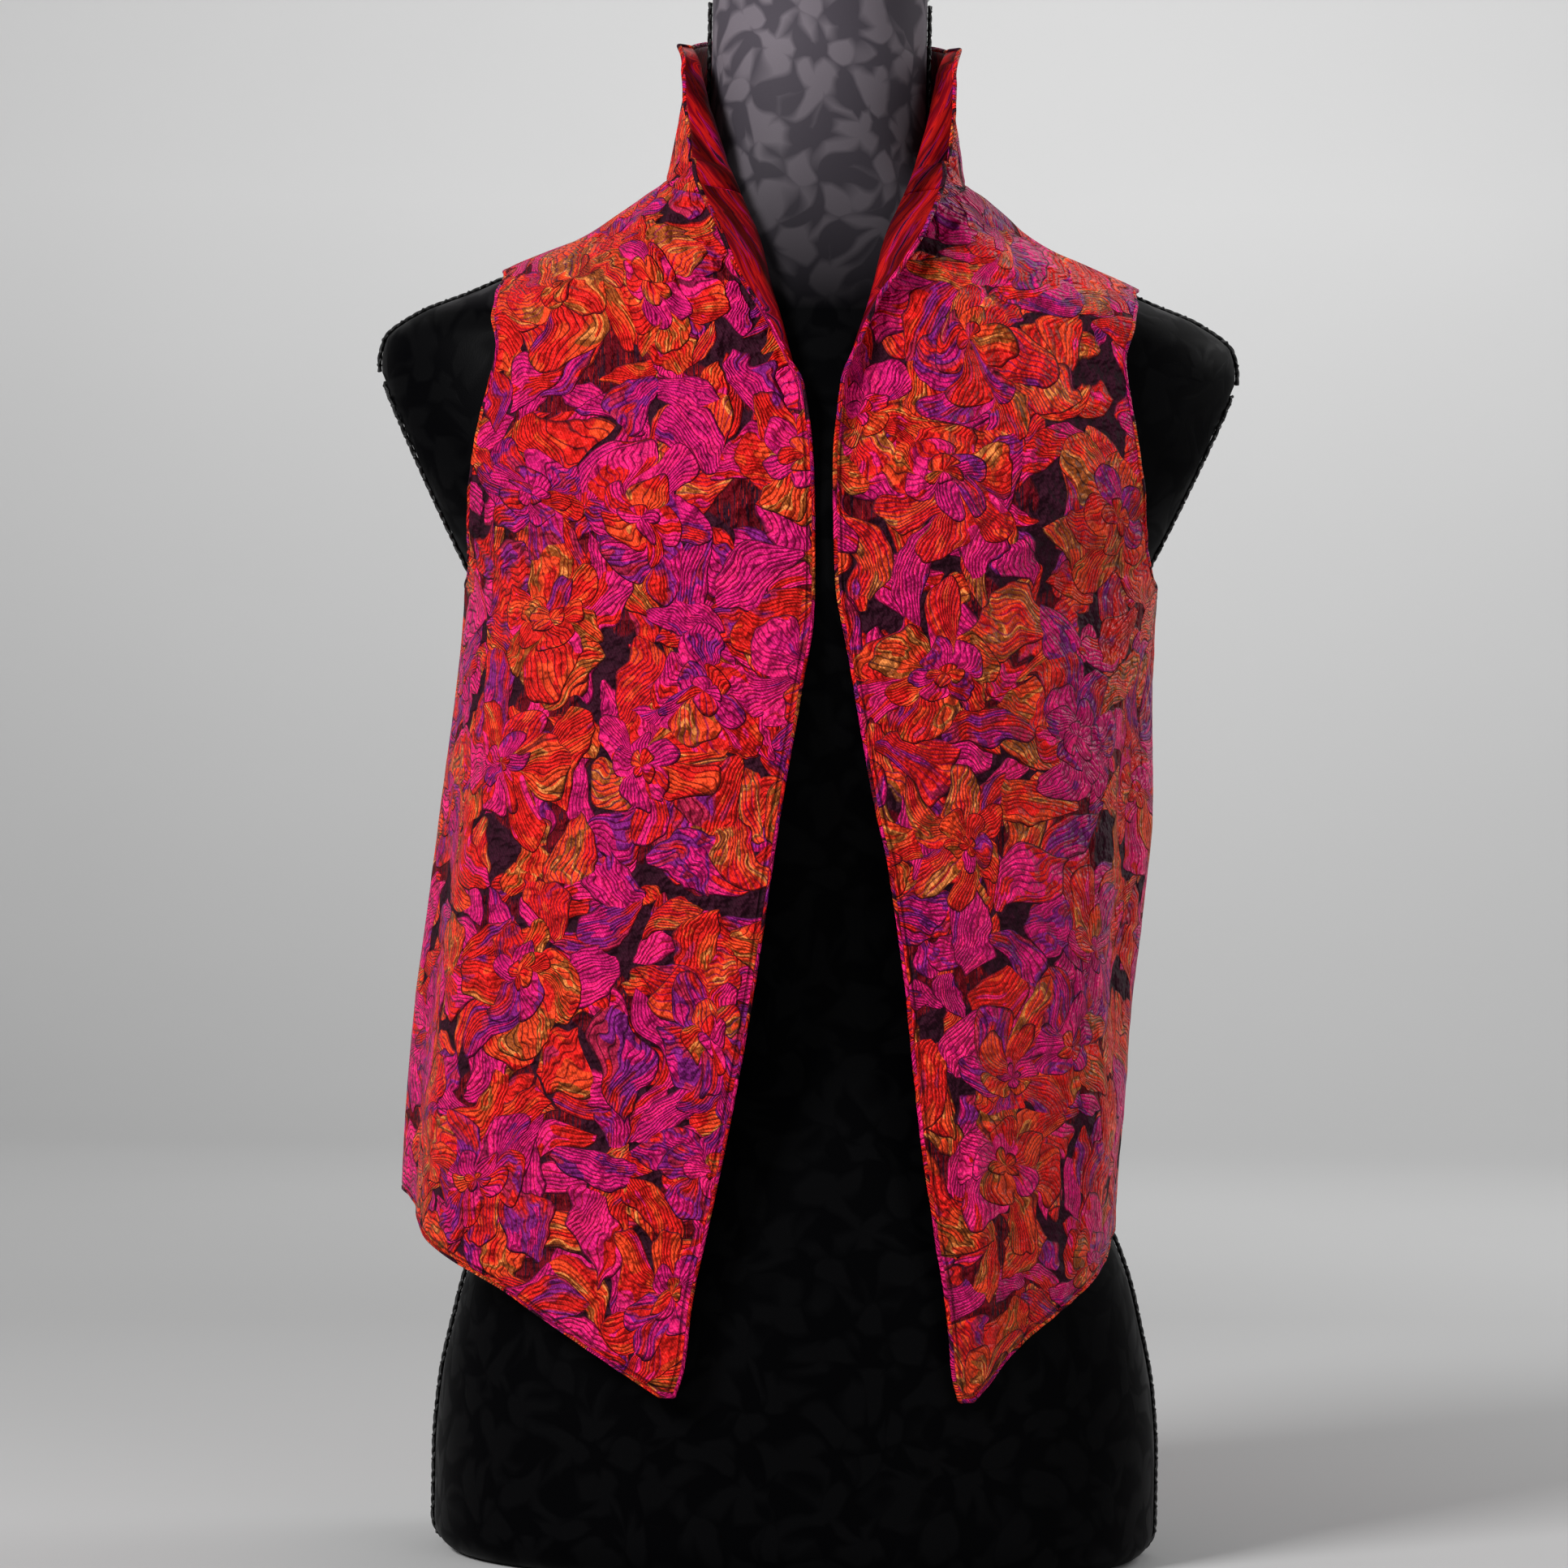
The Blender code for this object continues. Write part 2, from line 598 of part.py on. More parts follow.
def form_ring(height, inset=0.0):
    """One ring of the dress form, held in by the arm plates."""
    ring = []
    for i in range(FORM_SEGMENTS):
        point = FORM.point(-180.0 + 360.0 * i / FORM_SEGMENTS, height)
        point -= Vector((point.x, point.y, 0.0)).normalized() * inset
        if height > PLATE_FOOT[0] - PLATE_LEAD_IN:
            limit = plate_limit(height)
            point.x = min(max(point.x, -limit), limit)
        ring.append(point)
    return ring


def form_heights():
    """Heights of the form's rings above its rounded foot, with long steps halved."""
    heights = [BOTTOM_ROUND]
    for row in FORM_RINGS[1:]:
        if row[0] - heights[-1] > LONGEST_FORM_STEP:
            heights.append((row[0] + heights[-1]) / 2)
        heights.append(row[0])
    return heights


def foot_rounding():
    """Heights and insets of the rings of the rounded foot, bottom first."""
    turns = [math.pi / 2 * i / ROUND_STEPS for i in range(ROUND_STEPS)]
    return [(BOTTOM_ROUND * (1 - math.cos(t)), BOTTOM_ROUND * (1 - math.sin(t))) for t in turns]


def build_form(fabric):
    """The covered torso: rounded foot, waist, chest, shoulders and neck in one body."""
    rings = [form_ring(height, inset) for height, inset in foot_rounding()]
    rings += [form_ring(height) for height in form_heights()]
    return link_object("form_body", loft_mesh("form_body", rings), fabric)


def build_neck_cap(lacquer):
    """The cap that closes the neck, a low drum with a rounded upper edge."""
    left, _, front, _, _ = FORM.ring(FORM_HEIGHT)
    centre = FORM.centre(FORM_HEIGHT)
    base = FORM_HEIGHT + SEAM_GAP
    profile = [(0.0, CAP_FOOT_SPREAD), (CAP_FOOT_RISE, CAP_LIP),
               (CAP_HEIGHT - CAP_EDGE_ROUND, CAP_LIP)]
    for i in range(1, ROUND_STEPS + 1):
        turn = math.pi / 2 * i / ROUND_STEPS
        rise = CAP_HEIGHT - CAP_EDGE_ROUND * (1 - math.sin(turn))
        profile.append((rise, CAP_LIP - CAP_EDGE_ROUND * (1 - math.cos(turn))))
    rings = []
    for rise, spread in profile:
        ring = []
        for i in range(FORM_SEGMENTS):
            turn = 2 * math.pi * i / FORM_SEGMENTS
            ring.append(Vector((centre + (left + spread) * math.sin(turn),
                                (front + spread) * math.cos(turn), base + rise)))
        rings.append(ring)
    return link_object("neck_cap", loft_mesh("neck_cap", rings), lacquer)


def strip_mesh(name, path, closed):
    """A flat band that lies a seam gap off a surface, along places with their directions."""
    points = []
    for place, outward, sideways in path:
        low = place + outward * SEAM_GAP
        high = place + outward * (SEAM_GAP + BRAID_THICKNESS)
        half = sideways * BRAID_WIDTH / 2
        points += [low - half, low + half, high + half, high - half]
    count = len(path)
    faces = []
    for j in range(count if closed else count - 1):
        a, b = 4 * j, 4 * ((j + 1) % count)
        for i in range(4):
            k = (i + 1) % 4
            faces.append((a + i, a + k, b + k, b + i))
    if not closed:
        faces.append((3, 2, 1, 0))
        last = 4 * (count - 1)
        faces.append((last, last + 1, last + 2, last + 3))
    return mesh_from(name, points, faces)


def side_path(sign, outline):
    """Places down one side of the form with outward directions, from heights and widths."""
    places = [Vector((FORM.centre(h) + sign * width, 0.0, h)) for width, h in outline]
    path = []
    for i, place in enumerate(places):
        before = places[max(i - 1, 0)]
        after = places[min(i + 1, len(places) - 1)]
        along = after - before
        outward = Vector((-along.z, 0.0, along.x)).normalized()
        if outward.x * sign < 0.0:
            outward = -outward
        path.append((place, outward, Vector((0.0, 1.0, 0.0))))
    return path


def build_braids(braid):
    """The woven braid over the neck and shoulder, round each arm plate and down each side."""
    heights = form_heights()
    ring_top = PLATE_CENTRE + PLATE_HALF_HEIGHT + BRAID_WIDTH
    ring_foot = PLATE_CENTRE - PLATE_HALF_HEIGHT - BRAID_WIDTH
    braid_top = FORM_HEIGHT - BRAID_TOP_GAP
    over = [(FORM.ring(h)[0], h) for h in heights if ring_top < h < braid_top]
    over.append((FORM.ring(FORM_HEIGHT)[0], braid_top))
    down = [(FORM.ring(0.0)[0] - inset, h) for h, inset in foot_rounding() if h > BRAID_LIFT]
    down += [(FORM.ring(h)[0], h) for h in heights if h < ring_foot]
    down.append((FORM.ring(ring_foot)[0], ring_foot))
    for side, sign in (("left", -1.0), ("right", 1.0)):
        for part, outline in (("shoulder", over), ("side", down)):
            name = f"braid_{part}_{side}"
            link_object(name, strip_mesh(name, side_path(sign, outline), False), braid)
        name = f"braid_plate_{side}"
        link_object(name, strip_mesh(name, plate_path(sign), True), braid)


def plate_path(sign):
    """Places round an arm plate, on its leaning flat face."""
    outward = Vector((sign, 0.0, -PLATE_LEAN)).normalized()
    path = []
    for i in range(BRAID_RING_SEGMENTS):
        turn = 2 * math.pi * i / BRAID_RING_SEGMENTS
        rise = PLATE_HALF_HEIGHT * math.cos(turn)
        depth = PLATE_HALF_DEPTH * math.sin(turn)
        height = PLATE_CENTRE + rise
        place = Vector((sign * plate_limit(height), depth, height))
        run_rise = -PLATE_HALF_HEIGHT * math.sin(turn)
        run = Vector((sign * run_rise * PLATE_LEAN, PLATE_HALF_DEPTH * math.cos(turn), run_rise))
        path.append((place, outward, outward.cross(run).normalized()))
    return path


def finish(name, colour, roughness):
    """A plain finish for the construction model, with no metal in it."""
    material = bpy.data.materials.new(name)
    material.use_nodes = True
    shader = material.node_tree.nodes["Principled BSDF"]
    shader.inputs["Base Color"].default_value = (*colour, 1.0)
    shader.inputs["Roughness"].default_value = roughness
    shader.inputs["Metallic"].default_value = 0.0
    return material


def main():
    """Build the waistcoat and its dress form."""
    clear_scene()
    pieces = (
        ("front", front_rows, (0.42, 0.03, 0.02)),
        ("back", back_rows, (0.30, 0.02, 0.05)),
        ("collar", collar_rows, (0.45, 0.10, 0.02)),
    )
    for piece, rows, colour in pieces:
        for side in ("left", "right"):
            name = f"{piece}_{side}"
            link_object(name, wall_mesh(name, *rows(side)), finish(f"brocade_{name}", colour, 0.55))
    build_form(finish("satin_damask", (0.012, 0.012, 0.013), 0.45))
    build_neck_cap(finish("black_lacquer", (0.006, 0.006, 0.006), 0.15))
    build_braids(finish("black_braid", (0.010, 0.010, 0.010), 0.80))


main()
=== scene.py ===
"""Looks of a brocade waistcoat with a stand collar, worn by a black limbless dress form.

Sizes in the tables are millimetres and degrees. Both the form and the cloth are read from
horizontal rings, as in the construction model, and every mesh is made in metres.
"""

import logging
import math
from dataclasses import dataclass, field
from enum import Enum
from typing import Any, Callable, Optional, Sequence

import bmesh
import bpy
import numpy as np
from mathutils import Matrix


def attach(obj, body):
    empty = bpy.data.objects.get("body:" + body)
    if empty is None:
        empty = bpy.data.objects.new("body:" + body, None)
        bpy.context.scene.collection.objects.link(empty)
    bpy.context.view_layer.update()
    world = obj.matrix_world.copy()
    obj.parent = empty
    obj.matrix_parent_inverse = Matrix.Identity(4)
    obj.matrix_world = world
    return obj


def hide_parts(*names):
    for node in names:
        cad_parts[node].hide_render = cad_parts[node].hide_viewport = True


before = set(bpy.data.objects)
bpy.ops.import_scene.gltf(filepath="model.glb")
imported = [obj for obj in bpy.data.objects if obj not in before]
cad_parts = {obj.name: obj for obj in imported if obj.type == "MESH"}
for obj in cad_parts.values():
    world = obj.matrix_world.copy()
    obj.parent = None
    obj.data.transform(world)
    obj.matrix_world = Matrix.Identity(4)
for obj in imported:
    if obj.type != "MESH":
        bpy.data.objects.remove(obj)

LOG = logging.getLogger("waistcoat")
MM = 0.001
ORIGIN_AHEAD = 3.6
WALL = 2.0
SEAM_GAP = 0.3
FOLD_RADIUS = 2.6
FOLD_RUN_OUT = 60.0
ARMHOLE_BOTTOM = 440.0
NECK_POINT = 631.0
FRONT_NECK = 617.0
BACK_NECK_RISE = 8.0
BACK_HEM_DIP = 10.0
COLLAR_TOP = {"front": 684.0, "side": 691.0, "back": 705.0}
SIDE_HEM = {"left": 165.0, "right": 153.0}
SHOULDER_TIP = {"left": 589.4, "right": 584.6}
FORM_HEIGHT = 716.0
BOTTOM_ROUND = 14.0
PLATE_CENTRE, PLATE_HALF_HEIGHT, PLATE_HALF_DEPTH = 490.0, 44.0, 29.0
PLATE_FOOT, PLATE_LEAN = (455.0, 156.5), 0.47

# Height, half width, front depth, back depth, power, sideways lean
FORM_RINGS = [
    (0.0, 165.6, 104.0, 114.0, 2.30, 1.6), (45.0, 165.6, 105.0, 114.0, 2.30, 1.6),
    (75.0, 163.5, 106.0, 113.0, 2.30, 1.6), (110.0, 156.5, 106.0, 110.0, 2.30, 1.6),
    (125.0, 152.8, 105.5, 108.0, 2.25, 1.6), (140.0, 147.6, 104.5, 106.0, 2.25, 1.6),
    (155.0, 141.2, 103.0, 103.5, 2.20, 1.6), (175.0, 134.0, 100.0, 99.0, 2.20, 1.4),
    (210.0, 124.0, 91.0, 86.0, 2.10, 0.8), (250.0, 118.0, 83.0, 76.0, 2.10, 0.0),
    (290.0, 119.0, 84.0, 77.0, 2.10, 0.0), (330.0, 126.0, 92.0, 84.0, 2.10, 0.0),
    (390.0, 140.0, 108.0, 93.0, 2.10, 0.0), (440.0, 150.0, 115.0, 97.5, 2.10, 0.0),
    (470.0, 171.0, 113.0, 98.0, 2.00, 0.0), (500.0, 188.0, 106.0, 96.0, 2.00, 0.0),
    (530.0, 195.5, 94.0, 90.0, 2.00, 0.0), (545.0, 197.0, 88.0, 84.0, 2.00, 0.0),
    (555.0, 195.0, 84.0, 79.0, 2.00, 0.0), (567.0, 180.0, 78.0, 72.0, 2.00, 0.0),
    (576.5, 157.0, 73.0, 67.0, 2.00, 0.0), (584.0, 140.0, 69.0, 63.5, 2.00, 0.0),
    (593.0, 116.0, 64.5, 60.0, 2.00, 0.2), (599.5, 103.0, 62.0, 58.0, 2.00, 0.4),
    (608.5, 90.0, 59.0, 56.0, 2.00, 0.8), (618.5, 76.0, 56.5, 54.0, 2.00, 1.4),
    (625.5, 66.0, 55.0, 53.0, 2.00, 1.8), (634.0, 57.0, 53.5, 52.0, 2.00, 2.4),
    (645.0, 51.5, 52.0, 51.5, 2.00, 2.8), (660.0, 49.8, 51.0, 51.0, 2.00, 2.8),
    (690.0, 49.6, 50.5, 50.5, 2.00, 2.8), (716.0, 49.6, 50.0, 50.0, 2.00, 2.8),
]

# Height, half width left, half width right, front depth, back depth, power
CLOTH_RINGS = [
    (80.0, 182.0, 147.5, 119.0, 113.0, 2.25), (153.0, 182.0, 147.8, 121.0, 112.0, 2.25),
    (175.0, 181.5, 148.4, 121.5, 111.0, 2.25), (203.0, 180.4, 150.5, 122.0, 109.0, 2.25),
    (250.0, 177.0, 153.3, 122.0, 107.0, 2.20), (300.0, 171.0, 158.5, 121.5, 105.0, 2.20),
    (345.0, 166.0, 162.0, 121.0, 104.0, 2.15), (397.0, 160.0, 161.0, 120.5, 103.0, 2.15),
    (440.0, 157.0, 162.2, 119.5, 102.0, 2.10), (470.0, 175.5, 177.0, 117.5, 102.5, 2.05),
    (500.0, 192.5, 193.0, 110.5, 100.5, 2.00), (530.0, 200.0, 200.5, 98.5, 94.5, 2.00),
    (559.0, 199.0, 199.0, 87.0, 82.0, 2.00), (571.0, 183.0, 183.0, 81.5, 75.5, 2.00),
    (581.0, 157.5, 157.5, 77.0, 71.5, 2.00), (589.5, 139.0, 139.0, 73.0, 67.5, 2.00),
    (598.5, 116.5, 116.5, 69.0, 64.5, 2.00), (605.0, 103.5, 104.0, 66.5, 62.5, 2.00),
    (614.0, 90.5, 93.0, 64.0, 60.5, 2.00), (624.0, 76.5, 81.0, 62.0, 59.0, 2.00),
    (631.0, 67.5, 71.5, 61.0, 61.0, 2.00), (645.0, 64.3, 68.8, 60.5, 61.5, 2.00),
    (663.0, 61.0, 66.0, 60.0, 62.0, 2.00), (680.0, 58.2, 64.0, 60.0, 62.0, 2.00),
    (706.0, 57.8, 63.5, 60.0, 62.0, 2.00),
]

# Height, sideways place of the edge as seen from the front, turn of the edge, length that turns
FRONT_EDGE = {
    "left": [
        (84.5, -52.5, 0.0, 6.0), (97.5, -48.8, 0.0, 6.0), (124.0, -46.0, 0.0, 6.0),
        (158.0, -39.5, 0.0, 6.0), (196.0, -32.0, 0.0, 6.0), (265.0, -20.6, 0.0, 6.0),
        (341.0, -10.5, 0.0, 7.0), (392.0, -2.4, -6.0, 8.0), (433.0, 3.0, -8.0, 9.0),
        (480.0, 2.4, -8.0, 9.0), (505.0, 0.5, 10.0, 8.0), (527.0, -4.0, 70.0, 8.0),
        (543.0, -8.3, 120.0, 9.5), (557.0, -12.0, 145.0, 13.0), (576.0, -17.6, 155.0, 19.5),
        (595.0, -22.0, 155.0, 23.0), (617.0, -30.5, 150.0, 23.5), (637.0, -38.0, 145.0, 17.5),
        (665.0, -47.0, 110.0, 11.0), (684.0, -52.5, 60.0, 8.0),
    ],
    "right": [
        (83.0, 74.0, 0.0, 6.0), (94.5, 70.7, 0.0, 6.0), (126.0, 67.0, 0.0, 6.0),
        (155.0, 62.0, 0.0, 6.0), (200.0, 54.9, 0.0, 6.0), (271.0, 46.3, 0.0, 6.0),
        (317.0, 38.9, 0.0, 6.0), (342.0, 33.0, 0.0, 6.0), (411.0, 19.7, 0.0, 6.0),
        (443.0, 13.8, 0.0, 7.0), (494.0, 12.1, 15.0, 8.0), (521.0, 14.5, 60.0, 8.0),
        (538.0, 17.0, 90.0, 8.5), (551.0, 20.6, 110.0, 9.0), (566.0, 25.3, 130.0, 10.5),
        (577.0, 28.0, 145.0, 15.5), (598.0, 32.5, 155.0, 22.5), (617.0, 39.5, 150.0, 21.0),
        (637.0, 46.5, 140.0, 16.0), (662.0, 52.5, 105.0, 11.5), (684.0, 58.0, 60.0, 8.0),
    ],
}

# Sideways place, height
HEM = {
    "left": [(-182.0, 165.0), (-175.0, 158.0), (-165.0, 150.0), (-147.0, 138.0), (-109.0, 116.0),
             (-85.0, 101.5), (-58.5, 84.5)],
    "right": [(80.0, 83.0), (86.0, 89.5), (97.0, 102.5), (115.0, 118.0), (131.0, 132.0),
              (140.0, 141.0), (148.0, 153.0)],
}

# Share of the armhole's height, angle round the ring from straight ahead or straight behind
ARMHOLE = {
    "front": [(0.00, 90.0), (0.02, 85.0), (0.07, 76.5), (0.16, 70.0), (0.29, 66.6), (0.42, 64.8),
              (0.55, 64.3), (0.69, 64.8), (0.83, 67.9), (0.91, 72.2), (0.975, 80.0), (1.00, 90.0)],
    "back": [(0.00, 90.0), (0.02, 85.5), (0.07, 79.0), (0.16, 74.5), (0.29, 71.8), (0.42, 70.3),
             (0.55, 69.8), (0.69, 70.0), (0.83, 72.0), (0.91, 75.0), (0.975, 81.5), (1.00, 90.0)],
}

# Angle at the top and the foot, height of the top and the foot, half width in degrees, rise
FOLDS = {
    "front": [
        (-61.0, -66.0, 430.0, 120.0, 8.0, 6.0), (-77.0, -80.0, 400.0, 150.0, 7.0, -5.0),
        (-36.0, -42.0, 330.0, 70.0, 11.0, 3.0), (72.0, 74.0, 430.0, 270.0, 7.0, -7.0),
        (60.0, 63.0, 330.0, 110.0, 9.0, 3.0), (43.0, 50.0, 320.0, 60.0, 9.0, -2.5),
        (47.0, 57.0, 627.0, 596.0, 8.0, 2.5),
    ],
    "back": [
        (-66.0, -60.0, 420.0, 110.0, 9.0, 4.0), (-45.0, -42.0, 380.0, 100.0, 8.0, -4.0),
        (-24.0, -19.0, 400.0, 100.0, 9.0, 4.0), (2.0, 4.0, 360.0, 100.0, 8.0, -3.5),
        (24.0, 27.0, 390.0, 100.0, 9.0, 4.0), (47.0, 50.0, 400.0, 100.0, 8.0, -4.5),
        (70.0, 66.0, 380.0, 110.0, 8.0, 3.0),
    ],
}

# Small creases of the finished cloth, in the same columns, and how far they may fall in
INWARD_LIMIT = 1.4
ARC_PER_DEGREE = 2.3
FOLD_GROWTH_SHARE = 0.45
CREASES = {
    "front": [
        (20.0, 13.0, 556.0, 520.0, 3.5, -1.8), (66.0, 40.0, 622.0, 585.0, 4.0, 2.2),
        (74.0, 50.0, 612.0, 575.0, 3.5, -1.6), (-68.0, -46.0, 620.0, 582.0, 4.0, 2.0),
        (-76.0, -54.0, 612.0, 574.0, 3.5, -1.5), (-50.0, -38.0, 470.0, 400.0, 4.0, -1.6),
        (-58.0, -30.0, 520.0, 450.0, 3.5, 1.9), (58.0, 34.0, 500.0, 430.0, 4.0, 2.0),
        (-22.0, -30.0, 300.0, 200.0, 4.0, -1.6), (35.0, 38.0, 260.0, 140.0, 4.0, 2.0),
        (-50.0, -54.0, 260.0, 150.0, 4.0, -1.8), (66.0, 56.0, 300.0, 200.0, 4.0, -1.7),
        (-14.0, -24.0, 400.0, 330.0, 3.5, 1.7), (28.0, 20.0, 420.0, 350.0, 3.5, 1.7),
        (-30.0, -16.0, 560.0, 500.0, 3.5, 1.6), (44.0, 30.0, 556.0, 505.0, 3.5, 1.5),
    ],
    "back": [
        (-60.0, -30.0, 560.0, 500.0, 5.0, 1.8), (58.0, 32.0, 555.0, 495.0, 5.0, 1.7),
        (-12.0, -6.0, 620.0, 560.0, 6.0, -1.4), (14.0, 9.0, 300.0, 200.0, 5.0, -1.6),
        (-33.0, -36.0, 300.0, 180.0, 5.0, -1.6), (-44.0, -20.0, 470.0, 420.0, 4.0, 1.6),
        (40.0, 16.0, 480.0, 425.0, 4.0, 1.6),
    ],
}


class Tint(Enum):
    """Colours of the yarns, cloths and studio as sRGB hex values."""

    ORANGE = 0xEE4420
    RED_ORANGE = 0xDE1E1A
    DEEP_RED = 0x8A0418
    MAGENTA = 0xD2186C
    PINK = 0xEE2070
    PURPLE = 0x841C74
    BRONZE = 0x9C4A1C
    GOLD = 0xE08040
    ROSE = 0xB42046
    PLUM = 0x401428
    SOOT = 0x070708
    INK = 0x020203
    # Lit and unlit colours of the damask at the neck, as painted light and painted shade
    PAINTED_NECK_LIGHT = 0x6C656C
    SHADOW = 0x48434A
    PAPER = 0xE6E6E6


def linear(tint: Tint) -> tuple[float, float, float, float]:
    """Turn an sRGB hex tint to a linear colour.

    Args:
        tint: The tint.

    Returns:
        Red, green, blue and alpha.
    """
    parts = [(tint.value >> shift & 255) / 255.0 for shift in (16, 8, 0)]
    low, knee, slope, offset, power = 0.04045, 12.92, 1.055, 0.055, 2.4
    values = [p / knee if p <= low else ((p + offset) / slope) ** power for p in parts]
    return (values[0], values[1], values[2], 1.0)


def add_node(tree: bpy.types.NodeTree, kind: str, inputs: Any = (), output: Any = 0,
             **settings: Any) -> bpy.types.NodeSocket:
    """Add a node with its settings and links.

    Args:
        tree: The material's node tree.
        kind: The node's type name.
        inputs: Values or sockets by order, or by input name or index.
        output: Name or index of the output that is returned.
        settings: Values for the node's own properties.

    Returns:
        The chosen output socket.
    """
    node = tree.nodes.new(kind)
    for name, value in settings.items():
        setattr(node, name, value)
    pairs = inputs.items() if isinstance(inputs, dict) else enumerate(inputs)
    for key, value in pairs:
        if isinstance(value, bpy.types.NodeSocket):
            tree.links.new(value, node.inputs[key])
        elif value is not None:
            node.inputs[key].default_value = value
    return node.outputs[output]


def fill_ramp(socket: bpy.types.NodeSocket, stops: Sequence[tuple[float, Tint]],
              interpolation: str = "CONSTANT") -> None:
    """Set the stops of the colour ramp that a socket comes from.

    Args:
        socket: An output of the ramp.
        stops: Places and tints, in order.
        interpolation: How the ramp goes from stop to stop.
    """
    ramp = socket.node.color_ramp
    ramp.interpolation = interpolation
    while len(ramp.elements) < len(stops):
        ramp.elements.new(1.0)
    for element, (place, tint) in zip(ramp.elements, stops):
        element.position = place
        element.color = linear(tint)


def new_material(name: str) -> tuple[bpy.types.Material, bpy.types.NodeTree, bpy.types.Node]:
    """Make an empty node material with its Principled shader.

    Args:
        name: The material's name.

    Returns:
        The material, its node tree and its shader node.
    """
    material = bpy.data.materials.new(name)
    material.use_nodes = True
    tree = material.node_tree
    return material, tree, tree.nodes["Principled BSDF"]


MATH = "ShaderNodeMath"
VECTOR = "ShaderNodeVectorMath"
MIX = "ShaderNodeMix"
RAMP = "ShaderNodeValToRGB"


@dataclass(frozen=True)
class Yarns:
    """The yarn colours that a motif picks from by a random number."""

    crowns: tuple = (
        (0.0, Tint.ORANGE), (0.10, Tint.RED_ORANGE), (0.25, Tint.PINK), (0.39, Tint.MAGENTA),
        (0.57, Tint.PURPLE), (0.63, Tint.ROSE), (0.69, Tint.RED_ORANGE), (0.82, Tint.ORANGE),
        (0.92, Tint.BRONZE), (0.97, Tint.GOLD))
    troughs: tuple = (
        (0.0, Tint.DEEP_RED), (0.30, Tint.PURPLE), (0.48, Tint.RED_ORANGE), (0.66, Tint.MAGENTA),
        (0.84, Tint.PLUM))


@dataclass(frozen=True)
class Motif:
    """Sockets of one drawn layer of the brocade."""

    mask: bpy.types.NodeSocket
    colour: bpy.types.NodeSocket
    height: bpy.types.NodeSocket


